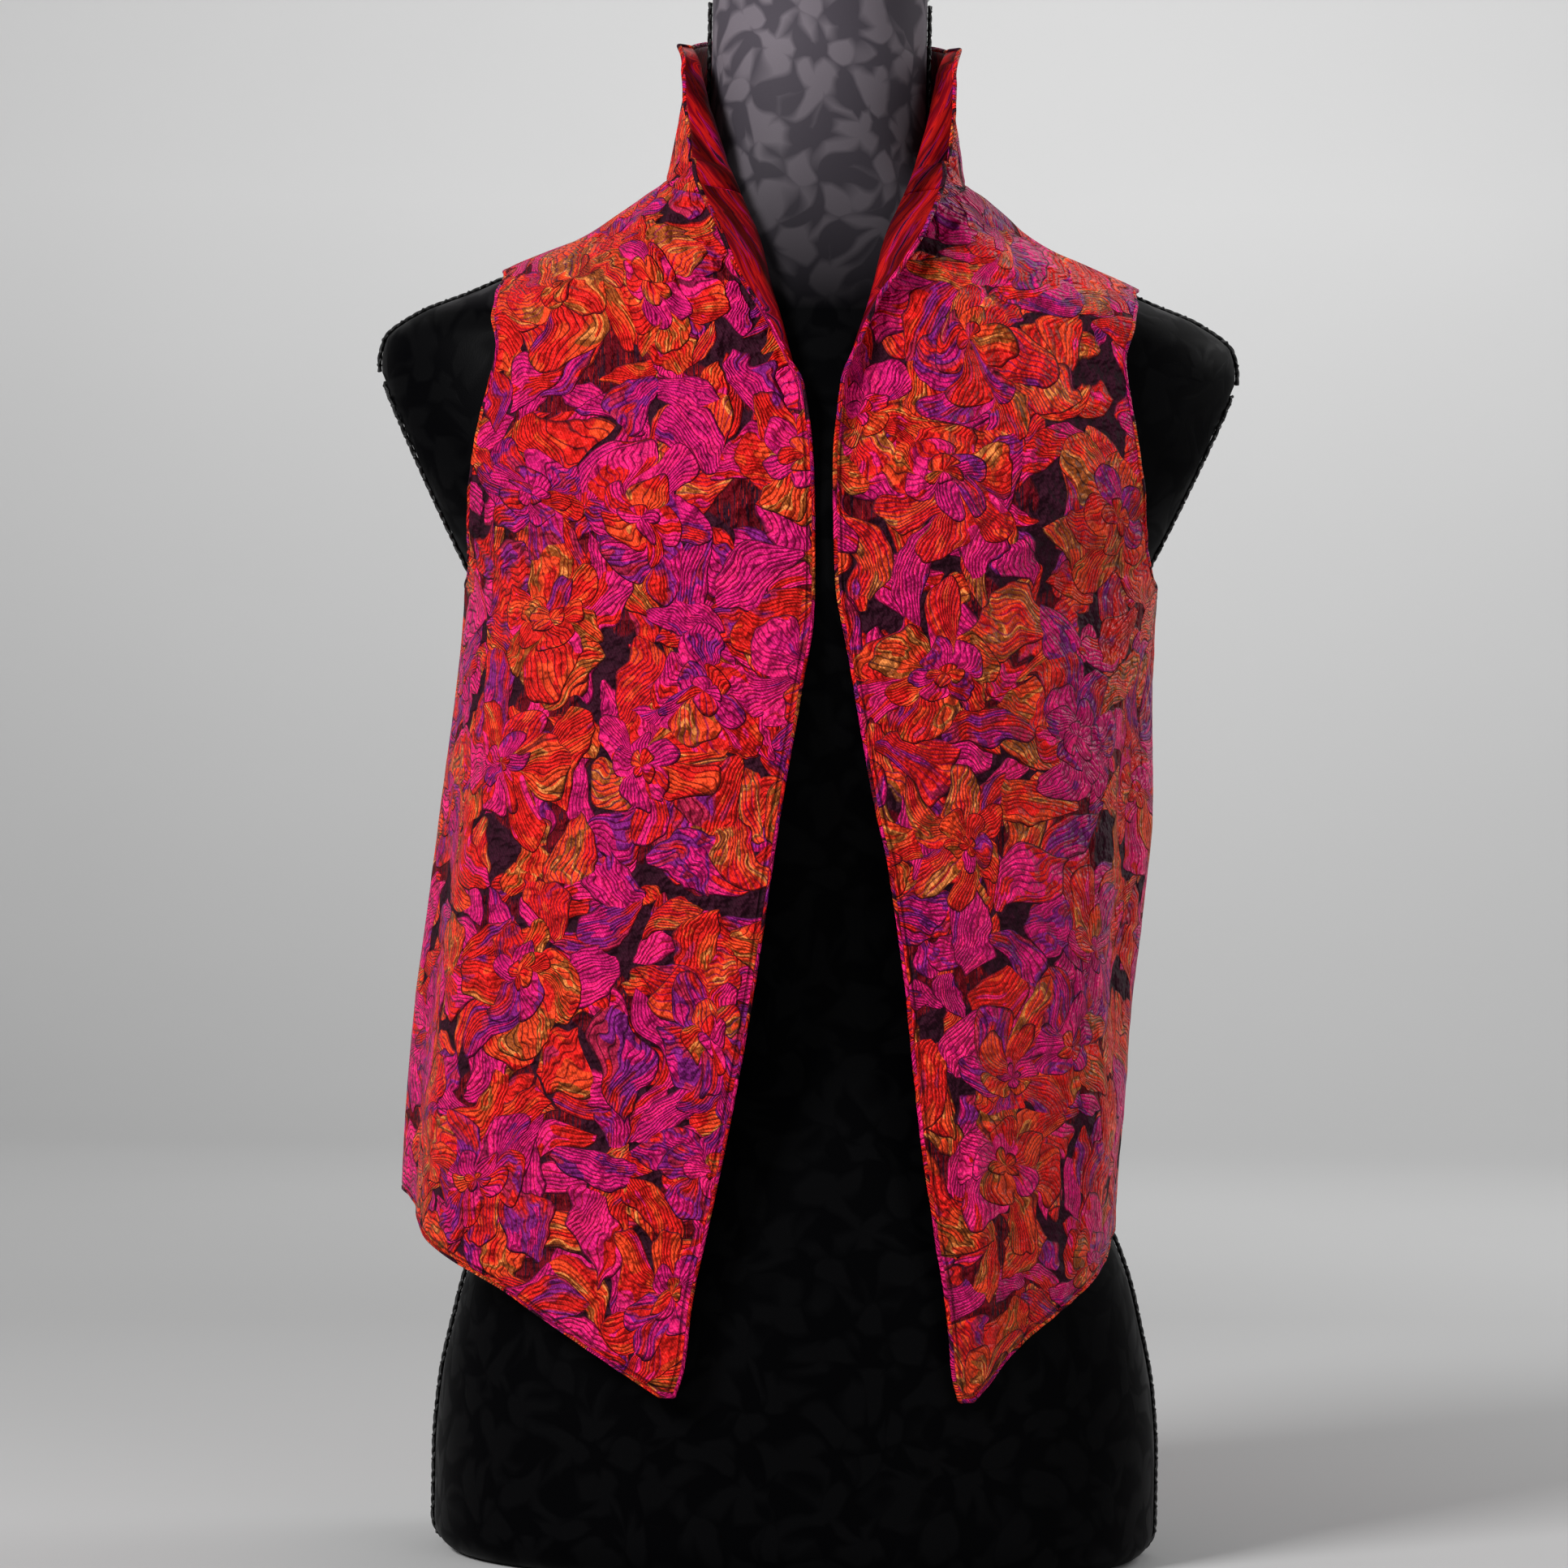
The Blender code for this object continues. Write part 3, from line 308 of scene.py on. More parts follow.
@dataclass(frozen=True)
class JacquardBrocade:
    """Silk-blend jacquard with raised, puckered motifs over a plum twill ground.

    It is woven, so the motifs are ribs of floating weft with dark troughs between them, dark
    partly from other yarns and partly from painted shade. That gives a broken satin sheen along
    each rib and a matt ground.
    """

    yarns: Yarns = Yarns()
    flower_mm: float = 76.0
    # Read in one place only, the photo's ribs are about 1.4 mm apart. They are drawn coarser to show
    rib_mm: float = 2.0
    # The weave of the plain ground reads about 1.0 to 1.3 mm where it can be made out
    twill_mm: float = 1.3
    relief_m: float = 0.0034
    roughness: float = 0.38

    def ramp(self, tree: bpy.types.NodeTree, chance: bpy.types.NodeSocket,
             stops: Sequence[tuple[float, Tint]]) -> bpy.types.NodeSocket:
        """A yarn colour picked by a random number.

        Args:
            tree: The material's node tree.
            chance: The random number.
            stops: Yarns, each with the number from which it starts.

        Returns:
            The colour.
        """
        socket = add_node(tree, RAMP, [chance])
        fill_ramp(socket, stops)
        return socket

    def ribs(self, tree: bpy.types.NodeTree, across: bpy.types.NodeSocket) -> bpy.types.NodeSocket:
        """Rib profile from 0 in the trough to 1 on the crown.

        Args:
            tree: The material's node tree.
            across: Distance across the ribs in millimetres.

        Returns:
            The profile.
        """
        turns = add_node(tree, MATH, [across, math.pi / self.rib_mm], operation="MULTIPLY")
        wave = add_node(tree, MATH, [turns], operation="SINE")
        arch = add_node(tree, MATH, [wave], operation="ABSOLUTE")
        return add_node(tree, MATH, [arch, 0.7], operation="POWER")

    def drift(self, tree: bpy.types.NodeTree, place: bpy.types.NodeSocket, size: float,
              reach: float) -> bpy.types.NodeSocket:
        """Bend places on the cloth, so that no outline stays regular.

        Args:
            tree: The material's node tree.
            place: Place on the cloth in millimetres.
            size: Size of the bends in millimetres.
            reach: How far they move the cloth in millimetres.

        Returns:
            The bent place.
        """
        noise = add_node(tree, "ShaderNodeTexNoise", {"Vector": place, "Scale": 1.0 / size,
                         "Detail": 1.0}, "Color", noise_dimensions="2D")
        noise = add_node(tree, VECTOR, [noise, (0.5, 0.5, 0.5)], operation="SUBTRACT")
        noise = add_node(tree, VECTOR, {0: noise, 3: 2.0 * reach}, operation="SCALE")
        return add_node(tree, VECTOR, [place, noise], operation="ADD")

    def make(self, name: str) -> bpy.types.Material:
        """Build the material.

        Args:
            name: The material's name.

        Returns:
            The material.
        """
        material, tree, shader = new_material(name)
        uv = add_node(tree, "ShaderNodeUVMap", uv_map="cloth")
        place = add_node(tree, VECTOR, {0: uv, 3: 1000.0}, operation="SCALE")
        warped = self.drift(tree, place, 52.0, 17.0)
        warped = self.drift(tree, warped, 13.0, 3.4)
        ground = self.ground(tree, place)
        flat = add_node(tree, "ShaderNodeValue")
        flat.default_value = 0.1
        colour, height = ground, flat
        layers = [self.leaf(tree, warped, 11.3, 21.0), self.leaf(tree, warped, 4.7, 27.0),
                  self.leaf(tree, warped, 0.0, 34.0), self.flower(tree, warped)]
        for layer in layers:
            colour = add_node(tree, MIX, {"Factor": layer.mask, 6: colour, 7: layer.colour}, 2,
                              data_type="RGBA")
            height = add_node(tree, MIX, {"Factor": layer.mask, 2: height, 3: layer.height}, 0)
        return self.surface(material, tree, shader, place, colour, height)

    def ground(self, tree: bpy.types.NodeTree,
               place: bpy.types.NodeSocket) -> bpy.types.NodeSocket:
        """Plum twill, with patches of dark red satin streaked along the warp.

        Args:
            tree: The material's node tree.
            place: Place on the cloth in millimetres.

        Returns:
            The ground's colour.
        """
        long_way = add_node(tree, VECTOR, [place, (0.5, 0.04, 0.0)], operation="MULTIPLY")
        streak = add_node(tree, "ShaderNodeTexNoise", {"Vector": long_way, "Scale": 1.0,
                          "Detail": 1.0}, "Fac", noise_dimensions="2D")
        satin = self.ramp(tree, streak, [(0.0, Tint.DEEP_RED), (0.5, Tint.PLUM),
                                         (0.6, Tint.RED_ORANGE), (0.64, Tint.DEEP_RED)])
        area = add_node(tree, "ShaderNodeTexNoise", {"Vector": place, "Scale": 1 / 47.0,
                        "Detail": 0.0}, "Fac", noise_dimensions="2D")
        patch = add_node(tree, "ShaderNodeMapRange", [area, 0.54, 0.56, 0.0, 0.8])
        return add_node(tree, MIX, {"Factor": patch, 6: linear(Tint.PLUM), 7: satin}, 2,
                        data_type="RGBA")

    def flower(self, tree: bpy.types.NodeTree, place: bpy.types.NodeSocket) -> Motif:
        """Open blooms with three whorls of ribbed petals.

        Args:
            tree: The material's node tree.
            place: Place on the cloth in millimetres.

        Returns:
            The layer.
        """
        scaled = add_node(tree, VECTOR, {0: place, 3: 1.0 / self.flower_mm}, operation="SCALE")
        centre = add_node(tree, "ShaderNodeTexVoronoi", {"Vector": scaled, "Scale": 1.0,
                          "Randomness": 0.75}, "Position", voronoi_dimensions="2D")
        away = add_node(tree, VECTOR, [scaled, centre], operation="SUBTRACT")
        away = add_node(tree, VECTOR, {0: away, 3: self.flower_mm}, operation="SCALE")
        along_x = add_node(tree, "ShaderNodeSeparateXYZ", [away], 0)
        radius = add_node(tree, VECTOR, [away], "Value", operation="LENGTH")
        angle = add_node(tree, MATH, [along_x.node.outputs[1], along_x], operation="ARCTAN2")
        luck = add_node(tree, "ShaderNodeSeparateColor", [centre.node.outputs["Color"]], 0)
        other_luck = luck.node.outputs[1]
        angle = add_node(tree, MATH, [luck, 2 * math.pi, angle], operation="MULTIPLY_ADD")
        angle = add_node(tree, MATH, [radius, 0.014, angle], operation="MULTIPLY_ADD")
        outer = self.whorl(tree, angle, radius, other_luck, 6, 37.0, 0.0)
        inner = self.whorl(tree, angle, radius, luck, 5, 21.0, 1.7)
        heart = self.whorl(tree, angle, radius, other_luck, 4, 9.5, 0.6)
        colour, height = outer.colour, outer.height
        for ring in (inner, heart):
            colour = add_node(tree, MIX, {"Factor": ring.mask, 6: colour, 7: ring.colour}, 2,
                              data_type="RGBA")
            height = add_node(tree, MIX, {"Factor": ring.mask, 2: height, 3: ring.height}, 0)
        return Motif(outer.mask, colour, height)

    def whorl(self, tree: bpy.types.NodeTree, angle: bpy.types.NodeSocket,
              radius: bpy.types.NodeSocket, luck: bpy.types.NodeSocket, petals: int,
              reach: float, offset: float) -> Motif:
        """One ring of petals of a bloom.

        Args:
            tree: The material's node tree.
            angle: Angle round the bloom in radians.
            radius: Distance from its middle in millimetres.
            luck: A random number of the bloom.
            petals: How many petals the ring has.
            reach: Length of a petal in millimetres.
            offset: Turn of the ring in radians.

        Returns:
            The layer.
        """
        turned = add_node(tree, MATH, [angle, offset + 4 * math.pi], operation="ADD")
        steps = add_node(tree, MATH, [turned, petals / (2 * math.pi)], operation="MULTIPLY")
        number = add_node(tree, MATH, [steps], operation="FLOOR")
        number = add_node(tree, MATH, [number, float(petals)], operation="MODULO")
        side = add_node(tree, MATH, [steps], operation="FRACT")
        side = add_node(tree, MATH, [side, 0.5], operation="SUBTRACT")
        tip = add_node(tree, MATH, [side, math.pi], operation="MULTIPLY")
        tip = add_node(tree, MATH, [tip], operation="COSINE")
        tip = add_node(tree, MATH, [tip, 0.5], operation="POWER")
        seed = add_node(tree, "ShaderNodeCombineXYZ", [number, luck, float(petals)])
        chance = add_node(tree, "ShaderNodeTexWhiteNoise", {"Vector": seed}, "Value",
                          noise_dimensions="3D")
        second = add_node(tree, "ShaderNodeSeparateColor", [chance.node.outputs["Color"]], 1)
        own_reach = add_node(tree, MATH, [second, 0.3 * reach, 0.72 * reach],
                             operation="MULTIPLY_ADD")
        limit = add_node(tree, MATH, [tip, 0.5, 0.5], operation="MULTIPLY_ADD")
        limit = add_node(tree, MATH, [limit, own_reach], operation="MULTIPLY")
        inside = add_node(tree, MATH, [limit, radius], operation="SUBTRACT")
        mask = add_node(tree, MATH, [inside, 0.0], operation="GREATER_THAN")
        across = add_node(tree, MATH, [side, radius], operation="MULTIPLY")
        across = add_node(tree, MATH, [across, 2 * math.pi / petals], operation="MULTIPLY")
        flank = add_node(tree, MATH, [tip, radius], operation="MULTIPLY")
        near = add_node(tree, MATH, [inside, flank], operation="MINIMUM")
        bowed = add_node(tree, MATH, [inside, 0.4, across], operation="MULTIPLY_ADD")
        choose = add_node(tree, MATH, [second, 0.5], operation="GREATER_THAN")
        across = add_node(tree, MIX, {"Factor": choose, 2: across, 3: bowed}, 0)
        gap = add_node(tree, "ShaderNodeMapRange", [near, 0.0, 0.9, 0.0, 1.0])
        family = add_node(tree, MATH, [chance, 0.42, luck], operation="MULTIPLY_ADD")
        return self.dress(tree, radius, family, second, across, gap, mask)

    def leaf(self, tree: bpy.types.NodeTree, place: bpy.types.NodeSocket, offset: float,
             size: float) -> Motif:
        """Leaves and loose petals, each a bent lens with ribs along it.

        Args:
            tree: The material's node tree.
            place: Place on the cloth in millimetres.
            offset: Shift of the layout in cells.
            size: Distance between leaves in millimetres.

        Returns:
            The layer.
        """
        scaled = add_node(tree, VECTOR, [place, (1 / size,) * 3, (offset,) * 3],
                          operation="MULTIPLY_ADD")
        centre = add_node(tree, "ShaderNodeTexVoronoi", {"Vector": scaled, "Scale": 1.0,
                          "Randomness": 0.9}, "Position", voronoi_dimensions="2D")
        chance = add_node(tree, "ShaderNodeSeparateColor", [centre.node.outputs["Color"]], 0)
        second, third = chance.node.outputs[1], chance.node.outputs[2]
        away = add_node(tree, VECTOR, [scaled, centre], operation="SUBTRACT")
        away = add_node(tree, VECTOR, {0: away, 3: size}, operation="SCALE")
        turn = add_node(tree, MATH, [third, 2 * math.pi], operation="MULTIPLY")
        turned = add_node(tree, "ShaderNodeVectorRotate", {"Vector": away, "Angle": turn},
                          rotation_type="Z_AXIS")
        along = add_node(tree, "ShaderNodeSeparateXYZ", [turned], 0)
        curl = add_node(tree, MATH, [along, along], operation="MULTIPLY")
        across = add_node(tree, MATH, [curl, 0.35 / size, along.node.outputs[1]],
                          operation="MULTIPLY_ADD")
        slim = add_node(tree, MATH, [curl, -0.33 * 2.2 / size, 0.33 * size],
                        operation="MULTIPLY_ADD")
        wide = add_node(tree, MATH, [across], operation="ABSOLUTE")
        inside = add_node(tree, MATH, [slim, wide], operation="SUBTRACT")
        mask = add_node(tree, MATH, [inside, 0.0], operation="GREATER_THAN")
        gap = add_node(tree, "ShaderNodeMapRange", [inside, 0.0, 0.9, 0.0, 1.0])
        fan = add_node(tree, MATH, [along, 0.55, across], operation="MULTIPLY_ADD")
        choose = add_node(tree, MATH, [second, 0.6], operation="GREATER_THAN")
        ribbed = add_node(tree, MIX, {"Factor": choose, 2: across, 3: fan}, 0)
        return self.dress(tree, along, chance, second, ribbed, gap, mask)

    def dress(self, tree: bpy.types.NodeTree, along: bpy.types.NodeSocket,
              chance: bpy.types.NodeSocket, second: bpy.types.NodeSocket,
              across: bpy.types.NodeSocket, gap: bpy.types.NodeSocket,
              mask: bpy.types.NodeSocket) -> Motif:
        """Colour a motif with crown and trough yarns, with painted shade in the troughs, and sink
        its outline.

        Args:
            tree: The material's node tree.
            along: Distance along the motif in millimetres.
            chance: Random number that picks the crown yarn.
            second: Random number that picks the trough yarn.
            across: Distance across the ribs in millimetres.
            gap: 0 on the motif's outline and 1 inside.
            mask: Where the motif is.

        Returns:
            The layer.
        """
        rib = self.ribs(tree, across)
        stretch = add_node(tree, "ShaderNodeCombineXYZ", [across, along, chance])
        stretch = add_node(tree, VECTOR, [stretch, (0.15, 0.06, 9.0)], operation="MULTIPLY")
        patch = add_node(tree, "ShaderNodeTexNoise", {"Vector": stretch, "Scale": 1.0,
                         "Detail": 1.0}, "Fac")
        pick = add_node(tree, MATH, [patch, 0.8, chance], operation="MULTIPLY_ADD")
        pick = add_node(tree, MATH, [pick, 0.6], operation="ADD")
        pick = add_node(tree, MATH, [pick], operation="FRACT")
        crown = self.ramp(tree, pick, self.yarns.crowns)
        # Painted shade: in the troughs the crown colour is darkened to a third, then mixed with the
        # trough yarn
        dark = add_node(tree, VECTOR, {0: crown, 3: 0.34}, operation="SCALE")
        other = self.ramp(tree, second, self.yarns.troughs)
        trough = add_node(tree, MIX, {"Factor": 0.4, 6: dark, 7: other}, 2, data_type="RGBA")
        shown = add_node(tree, "ShaderNodeMapRange", [rib, 0.22, 0.55, 0.0, 1.0])
        colour = add_node(tree, MIX, {"Factor": shown, 6: trough, 7: crown}, 2, data_type="RGBA")
        colour = add_node(tree, MIX, {"Factor": gap, 6: linear(Tint.PLUM), 7: colour}, 2,
                          data_type="RGBA")
        height = add_node(tree, MATH, [rib, 0.36, 0.64], operation="MULTIPLY_ADD")
        height = add_node(tree, MATH, [height, gap], operation="MULTIPLY")
        return Motif(mask, colour, height)

    def surface(self, material: bpy.types.Material, tree: bpy.types.NodeTree,
                shader: bpy.types.Node, place: bpy.types.NodeSocket,
                colour: bpy.types.NodeSocket, height: bpy.types.NodeSocket) -> bpy.types.Material:
        """Finish the cloth with twill, cockling, painted shade in the troughs and along the line of
        edge stitching, and painted light and shade over the cockles.

        Args:
            material: The material.
            tree: Its node tree.
            shader: Its shader.
            place: Place on the cloth in millimetres.
            colour: Colour of the motifs and the ground.
            height: Height of the motifs, from 0 to 1.

        Returns:
            The finished material.
        """
        twill = add_node(tree, VECTOR, [place, (1.0, 0.62, 0.0)], "Value", operation="DOT_PRODUCT")
        twill = add_node(tree, MATH, [twill, 2 * math.pi / self.twill_mm], operation="MULTIPLY")
        twill = add_node(tree, MATH, [twill], operation="SINE")
        slub = add_node(tree, "ShaderNodeTexNoise", {"Vector": place, "Scale": 0.8, "Detail": 2.0},
                        "Fac", noise_dimensions="2D")
        yarn = add_node(tree, MATH, [twill, 0.12, slub], operation="MULTIPLY_ADD")
        shade = add_node(tree, "ShaderNodeMapRange", [yarn, 0.25, 0.75, 0.66, 1.3])
        # Painted shade: the colour darkens to half where the motifs sink, in the troughs and
        # outlines
        depth = add_node(tree, "ShaderNodeMapRange", [height, 0.0, 0.85, 0.5, 1.0])
        shade = add_node(tree, MATH, [shade, depth], operation="MULTIPLY")
        edge = add_node(tree, "ShaderNodeUVMap", uv_map="edge")
        inward = add_node(tree, "ShaderNodeSeparateXYZ", [edge], 0)
        inward = add_node(tree, MATH, [inward, 1000.0], operation="MULTIPLY")
        off_line = add_node(tree, MATH, [inward, 2.4], operation="SUBTRACT")
        off_line = add_node(tree, MATH, [off_line], operation="ABSOLUTE")
        groove = add_node(tree, "ShaderNodeMapRange", [off_line, 0.2, 0.8, 0.0, 1.0])
        # Painted shade: the colour darkens along the groove of the edge stitching
        painted_groove_shade = add_node(tree, "ShaderNodeMapRange", [groove, 0.0, 1.0, 0.35, 1.0])
        shade = add_node(tree, MATH, [shade, painted_groove_shade], operation="MULTIPLY")
        cockle = add_node(tree, "ShaderNodeTexNoise", {"Vector": place, "Scale": 0.14,
                          "Detail": 2.0}, "Fac", noise_dimensions="2D")
        # Painted light and shade: the colour is lighter on the raised cockles and darker in their
        # hollows
        painted_pucker_shading = add_node(tree, "ShaderNodeMapRange", [cockle, 0.32, 0.66, 0.72, 1.24])
        shade = add_node(tree, MATH, [shade, painted_pucker_shading], operation="MULTIPLY")
        colour = add_node(tree, VECTOR, {0: colour, 3: shade}, operation="SCALE")
        tree.links.new(colour, shader.inputs["Base Color"])
        relief = add_node(tree, MATH, [yarn, 0.12, height], operation="MULTIPLY_ADD")
        relief = add_node(tree, MATH, [cockle, 3.4, relief], operation="MULTIPLY_ADD")
        relief = add_node(tree, MATH, [groove, 0.5, relief], operation="MULTIPLY_ADD")
        bump = add_node(tree, "ShaderNodeBump", {"Height": relief, "Distance": self.relief_m,
                        "Strength": 0.85})
        tree.links.new(bump, shader.inputs["Normal"])
        dull = add_node(tree, "ShaderNodeMapRange", [height, 0.0, 1.0, 0.8, self.roughness])
        tree.links.new(dull, shader.inputs["Roughness"])
        tint = add_node(tree, MIX, {"Factor": 0.85, 6: (1.0, 1.0, 1.0, 1.0), 7: colour}, 2,
                        data_type="RGBA")
        tree.links.new(tint, shader.inputs["Specular Tint"])
        shader.inputs["Specular IOR Level"].default_value = 0.42
        return material


@dataclass(frozen=True)
class BrocadeReverse:
    """The wrong side of the brocade, which shows on the lapels and inside.

    The wefts that don't show on the face float here, so it is a smoother dark red satin with
    long streaks along the warp.
    """

    streak_mm: float = 2.1
    streak_length_mm: float = 34.0

    def make(self, name: str) -> bpy.types.Material:
        """Build the material.

        Args:
            name: The material's name.

        Returns:
            The material.
        """
        material, tree, shader = new_material(name)
        uv = add_node(tree, "ShaderNodeUVMap", uv_map="cloth")
        place = add_node(tree, VECTOR, [uv, (1000 / self.streak_mm, 1000 / self.streak_length_mm,
                         0.0)], operation="MULTIPLY")
        streak = add_node(tree, "ShaderNodeTexNoise", {"Vector": place, "Scale": 1.0,
                          "Detail": 2.0}, "Fac", noise_dimensions="2D")
        colour = add_node(tree, RAMP, [streak])
        fill_ramp(colour, [(0.0, Tint.PLUM), (0.36, Tint.DEEP_RED), (0.55, Tint.RED_ORANGE),
                           (0.60, Tint.DEEP_RED), (0.66, Tint.MAGENTA), (0.72, Tint.PLUM)],
                  "EASE")
        broad = add_node(tree, "ShaderNodeTexNoise", {"Vector": place, "Scale": 0.22,
                         "Detail": 1.0}, "Fac", noise_dimensions="2D")
        shade = add_node(tree, "ShaderNodeMapRange", [broad, 0.35, 0.65, 0.1, 0.66])
        colour = add_node(tree, VECTOR, {0: colour, 3: shade}, operation="SCALE")
        tree.links.new(colour, shader.inputs["Base Color"])
        bump = add_node(tree, "ShaderNodeBump", {"Height": streak, "Distance": 0.0005,
                        "Strength": 0.7})
        tree.links.new(bump, shader.inputs["Normal"])
        tree.links.new(colour, shader.inputs["Specular Tint"])
        shader.inputs["Roughness"].default_value = 0.45
        shader.inputs["Specular IOR Level"].default_value = 0.5
        return material


@dataclass(frozen=True)
class SatinDamask:
    """Black satin damask stretched over the form.

    It is woven tone on tone, so the scrolls show as a change of gloss, and that gloss is also
    painted into the colour as painted sheen. The neck is painted lighter, as painted light from
    above.
    """

    repeat_mm: float = 34.0

    def make(self, name: str) -> bpy.types.Material:
        """Build the material.

        Args:
            name: The material's name.

        Returns:
            The material.
        """
        material, tree, shader = new_material(name)
        uv = add_node(tree, "ShaderNodeUVMap", uv_map="cloth")
        place = add_node(tree, VECTOR, {0: uv, 3: 1000.0 / self.repeat_mm}, operation="SCALE")
        bend = add_node(tree, "ShaderNodeTexNoise", {"Vector": place, "Scale": 0.9, "Detail": 1.0},
                        "Color", noise_dimensions="2D")
        bend = add_node(tree, VECTOR, {0: bend, 3: 0.8}, operation="SCALE")
        place = add_node(tree, VECTOR, [place, bend], operation="ADD")
        across = add_node(tree, "ShaderNodeSeparateXYZ", [place], 0)
        up = across.node.outputs[1]
        wave_a = add_node(tree, MATH, [across, 2 * math.pi], operation="MULTIPLY")
        wave_a = add_node(tree, MATH, [wave_a], operation="SINE")
        wave_b = add_node(tree, MATH, [up, 2 * math.pi], operation="MULTIPLY")
        wave_b = add_node(tree, MATH, [wave_b], operation="COSINE")
        lattice = add_node(tree, MATH, [wave_a, wave_b], operation="MULTIPLY")
        scroll = add_node(tree, "ShaderNodeTexVoronoi", {"Vector": place, "Scale": 2.6},
                          "Distance", voronoi_dimensions="2D", feature="DISTANCE_TO_EDGE")
        figure = add_node(tree, MATH, [lattice, 0.35, scroll], operation="MULTIPLY_ADD")
        figure = add_node(tree, "ShaderNodeMapRange", [figure, 0.04, 0.3, 0.0, 1.0])
        thread = add_node(tree, "ShaderNodeTexNoise", {"Vector": place, "Scale": 60.0}, "Fac",
                          noise_dimensions="2D")
        spot = add_node(tree, "ShaderNodeTexCoord", (), "Object")
        level = add_node(tree, "ShaderNodeSeparateXYZ", [spot], 2)
        # Painted light: the colour grows lighter from 0.565 m up to 0.69 m, as if light from above
        # falls on the neck
        neck = add_node(tree, "ShaderNodeMapRange", [level, 0.565, 0.69, 0.0, 1.0])
        lit = add_node(tree, MIX, {"Factor": neck, 6: linear(Tint.SOOT), 7: linear(Tint.PAINTED_NECK_LIGHT)},
                       2, data_type="RGBA")
        unlit = add_node(tree, MIX, {"Factor": neck, 6: linear(Tint.INK),
                         7: linear(Tint.SHADOW)}, 2, data_type="RGBA")
        # Painted sheen: the figure takes the lit colours and the ground the unlit ones
        tone = add_node(tree, MIX, {"Factor": figure, 6: unlit, 7: lit}, 2, data_type="RGBA")
        tree.links.new(tone, shader.inputs["Base Color"])
        gloss = add_node(tree, "ShaderNodeMapRange", [figure, 0.0, 1.0, 0.5, 0.4])
        tree.links.new(gloss, shader.inputs["Roughness"])
        relief = add_node(tree, MATH, [thread, 0.5, figure], operation="MULTIPLY_ADD")
        bump = add_node(tree, "ShaderNodeBump", {"Height": relief, "Distance": 0.00012,
                        "Strength": 0.7})
        tree.links.new(bump, shader.inputs["Normal"])
        shader.inputs["Specular IOR Level"].default_value = 0.02
        return material


@dataclass(frozen=True)
class Lacquer:
    """Gloss black lacquer on turned wood, slightly uneven under the coat."""

    roughness: float = 0.22

    def make(self, name: str) -> bpy.types.Material:
        """Build the material.

        Args:
            name: The material's name.

        Returns:
            The material.
        """
        material, tree, shader = new_material(name)
        place = add_node(tree, "ShaderNodeTexCoord", (), "Object")
        grain = add_node(tree, "ShaderNodeTexNoise", {"Vector": place, "Scale": 90.0}, "Fac")
        tone = add_node(tree, MIX, {"Factor": grain, 6: linear(Tint.INK), 7: linear(Tint.SOOT)},
                        2, data_type="RGBA")
        tree.links.new(tone, shader.inputs["Base Color"])
        bump = add_node(tree, "ShaderNodeBump", {"Height": grain, "Distance": 0.00006,
                        "Strength": 0.4})
        tree.links.new(bump, shader.inputs["Normal"])
        shader.inputs["Roughness"].default_value = self.roughness
        shader.inputs["Coat Weight"].default_value = 0.3
        return material


@dataclass(frozen=True)
class GimpYarn:
    """Black rayon gimp yarn, wound, with a fine spiral that catches the light."""

    spiral_mm: float = 0.8

    def make(self, name: str) -> bpy.types.Material:
        """Build the material.

        Args:
            name: The material's name.

        Returns:
            The material.
        """
        material, tree, shader = new_material(name)
        uv = add_node(tree, "ShaderNodeUVMap", uv_map="cloth")
        place = add_node(tree, VECTOR, [uv, (1.0, 0.8, 0.0)], "Value", operation="DOT_PRODUCT")
        wound = add_node(tree, MATH, [place, 2000 * math.pi / self.spiral_mm], operation="MULTIPLY")
        wound = add_node(tree, MATH, [wound], operation="SINE")
        shade = add_node(tree, "ShaderNodeMapRange", [wound, -1.0, 1.0, 0.0, 1.0])
        tone = add_node(tree, MIX, {"Factor": shade, 6: linear(Tint.INK), 7: linear(Tint.SOOT)},
                        2, data_type="RGBA")
        tree.links.new(tone, shader.inputs["Base Color"])
        bump = add_node(tree, "ShaderNodeBump", {"Height": wound, "Distance": 0.0001,
                        "Strength": 0.6})
        tree.links.new(bump, shader.inputs["Normal"])
        shader.inputs["Roughness"].default_value = 0.5
        return material


@dataclass(frozen=True)
class StudioPaper:
    """Seamless pale paper, matt, with a faint mottle, and painted shade that darkens it toward the
    floor.
    """

    floor_shade: float = 0.6

    def make(self, name: str) -> bpy.types.Material:
        """Build the material.

        Args:
            name: The material's name.

        Returns:
            The material.
        """
        material, tree, shader = new_material(name)
        place = add_node(tree, "ShaderNodeTexCoord", (), "Object")
        mottle = add_node(tree, "ShaderNodeTexNoise", {"Vector": place, "Scale": 3.0}, "Fac")
        shade = add_node(tree, "ShaderNodeMapRange", [mottle, 0.0, 1.0, 0.97, 1.0])
        level = add_node(tree, "ShaderNodeSeparateXYZ", [place], 2)
        # Painted shade: the colour falls to floor_shade at the floor and reaches full at 1.1 m up
        rise = add_node(tree, "ShaderNodeMapRange", [level, 0.0, 1.1, self.floor_shade, 1.0])
        shade = add_node(tree, MATH, [shade, rise], operation="MULTIPLY")
        tone = add_node(tree, VECTOR, {0: linear(Tint.PAPER)[:3], 3: shade}, operation="SCALE")
        tree.links.new(tone, shader.inputs["Base Color"])
        shader.inputs["Roughness"].default_value = 0.9
        return material


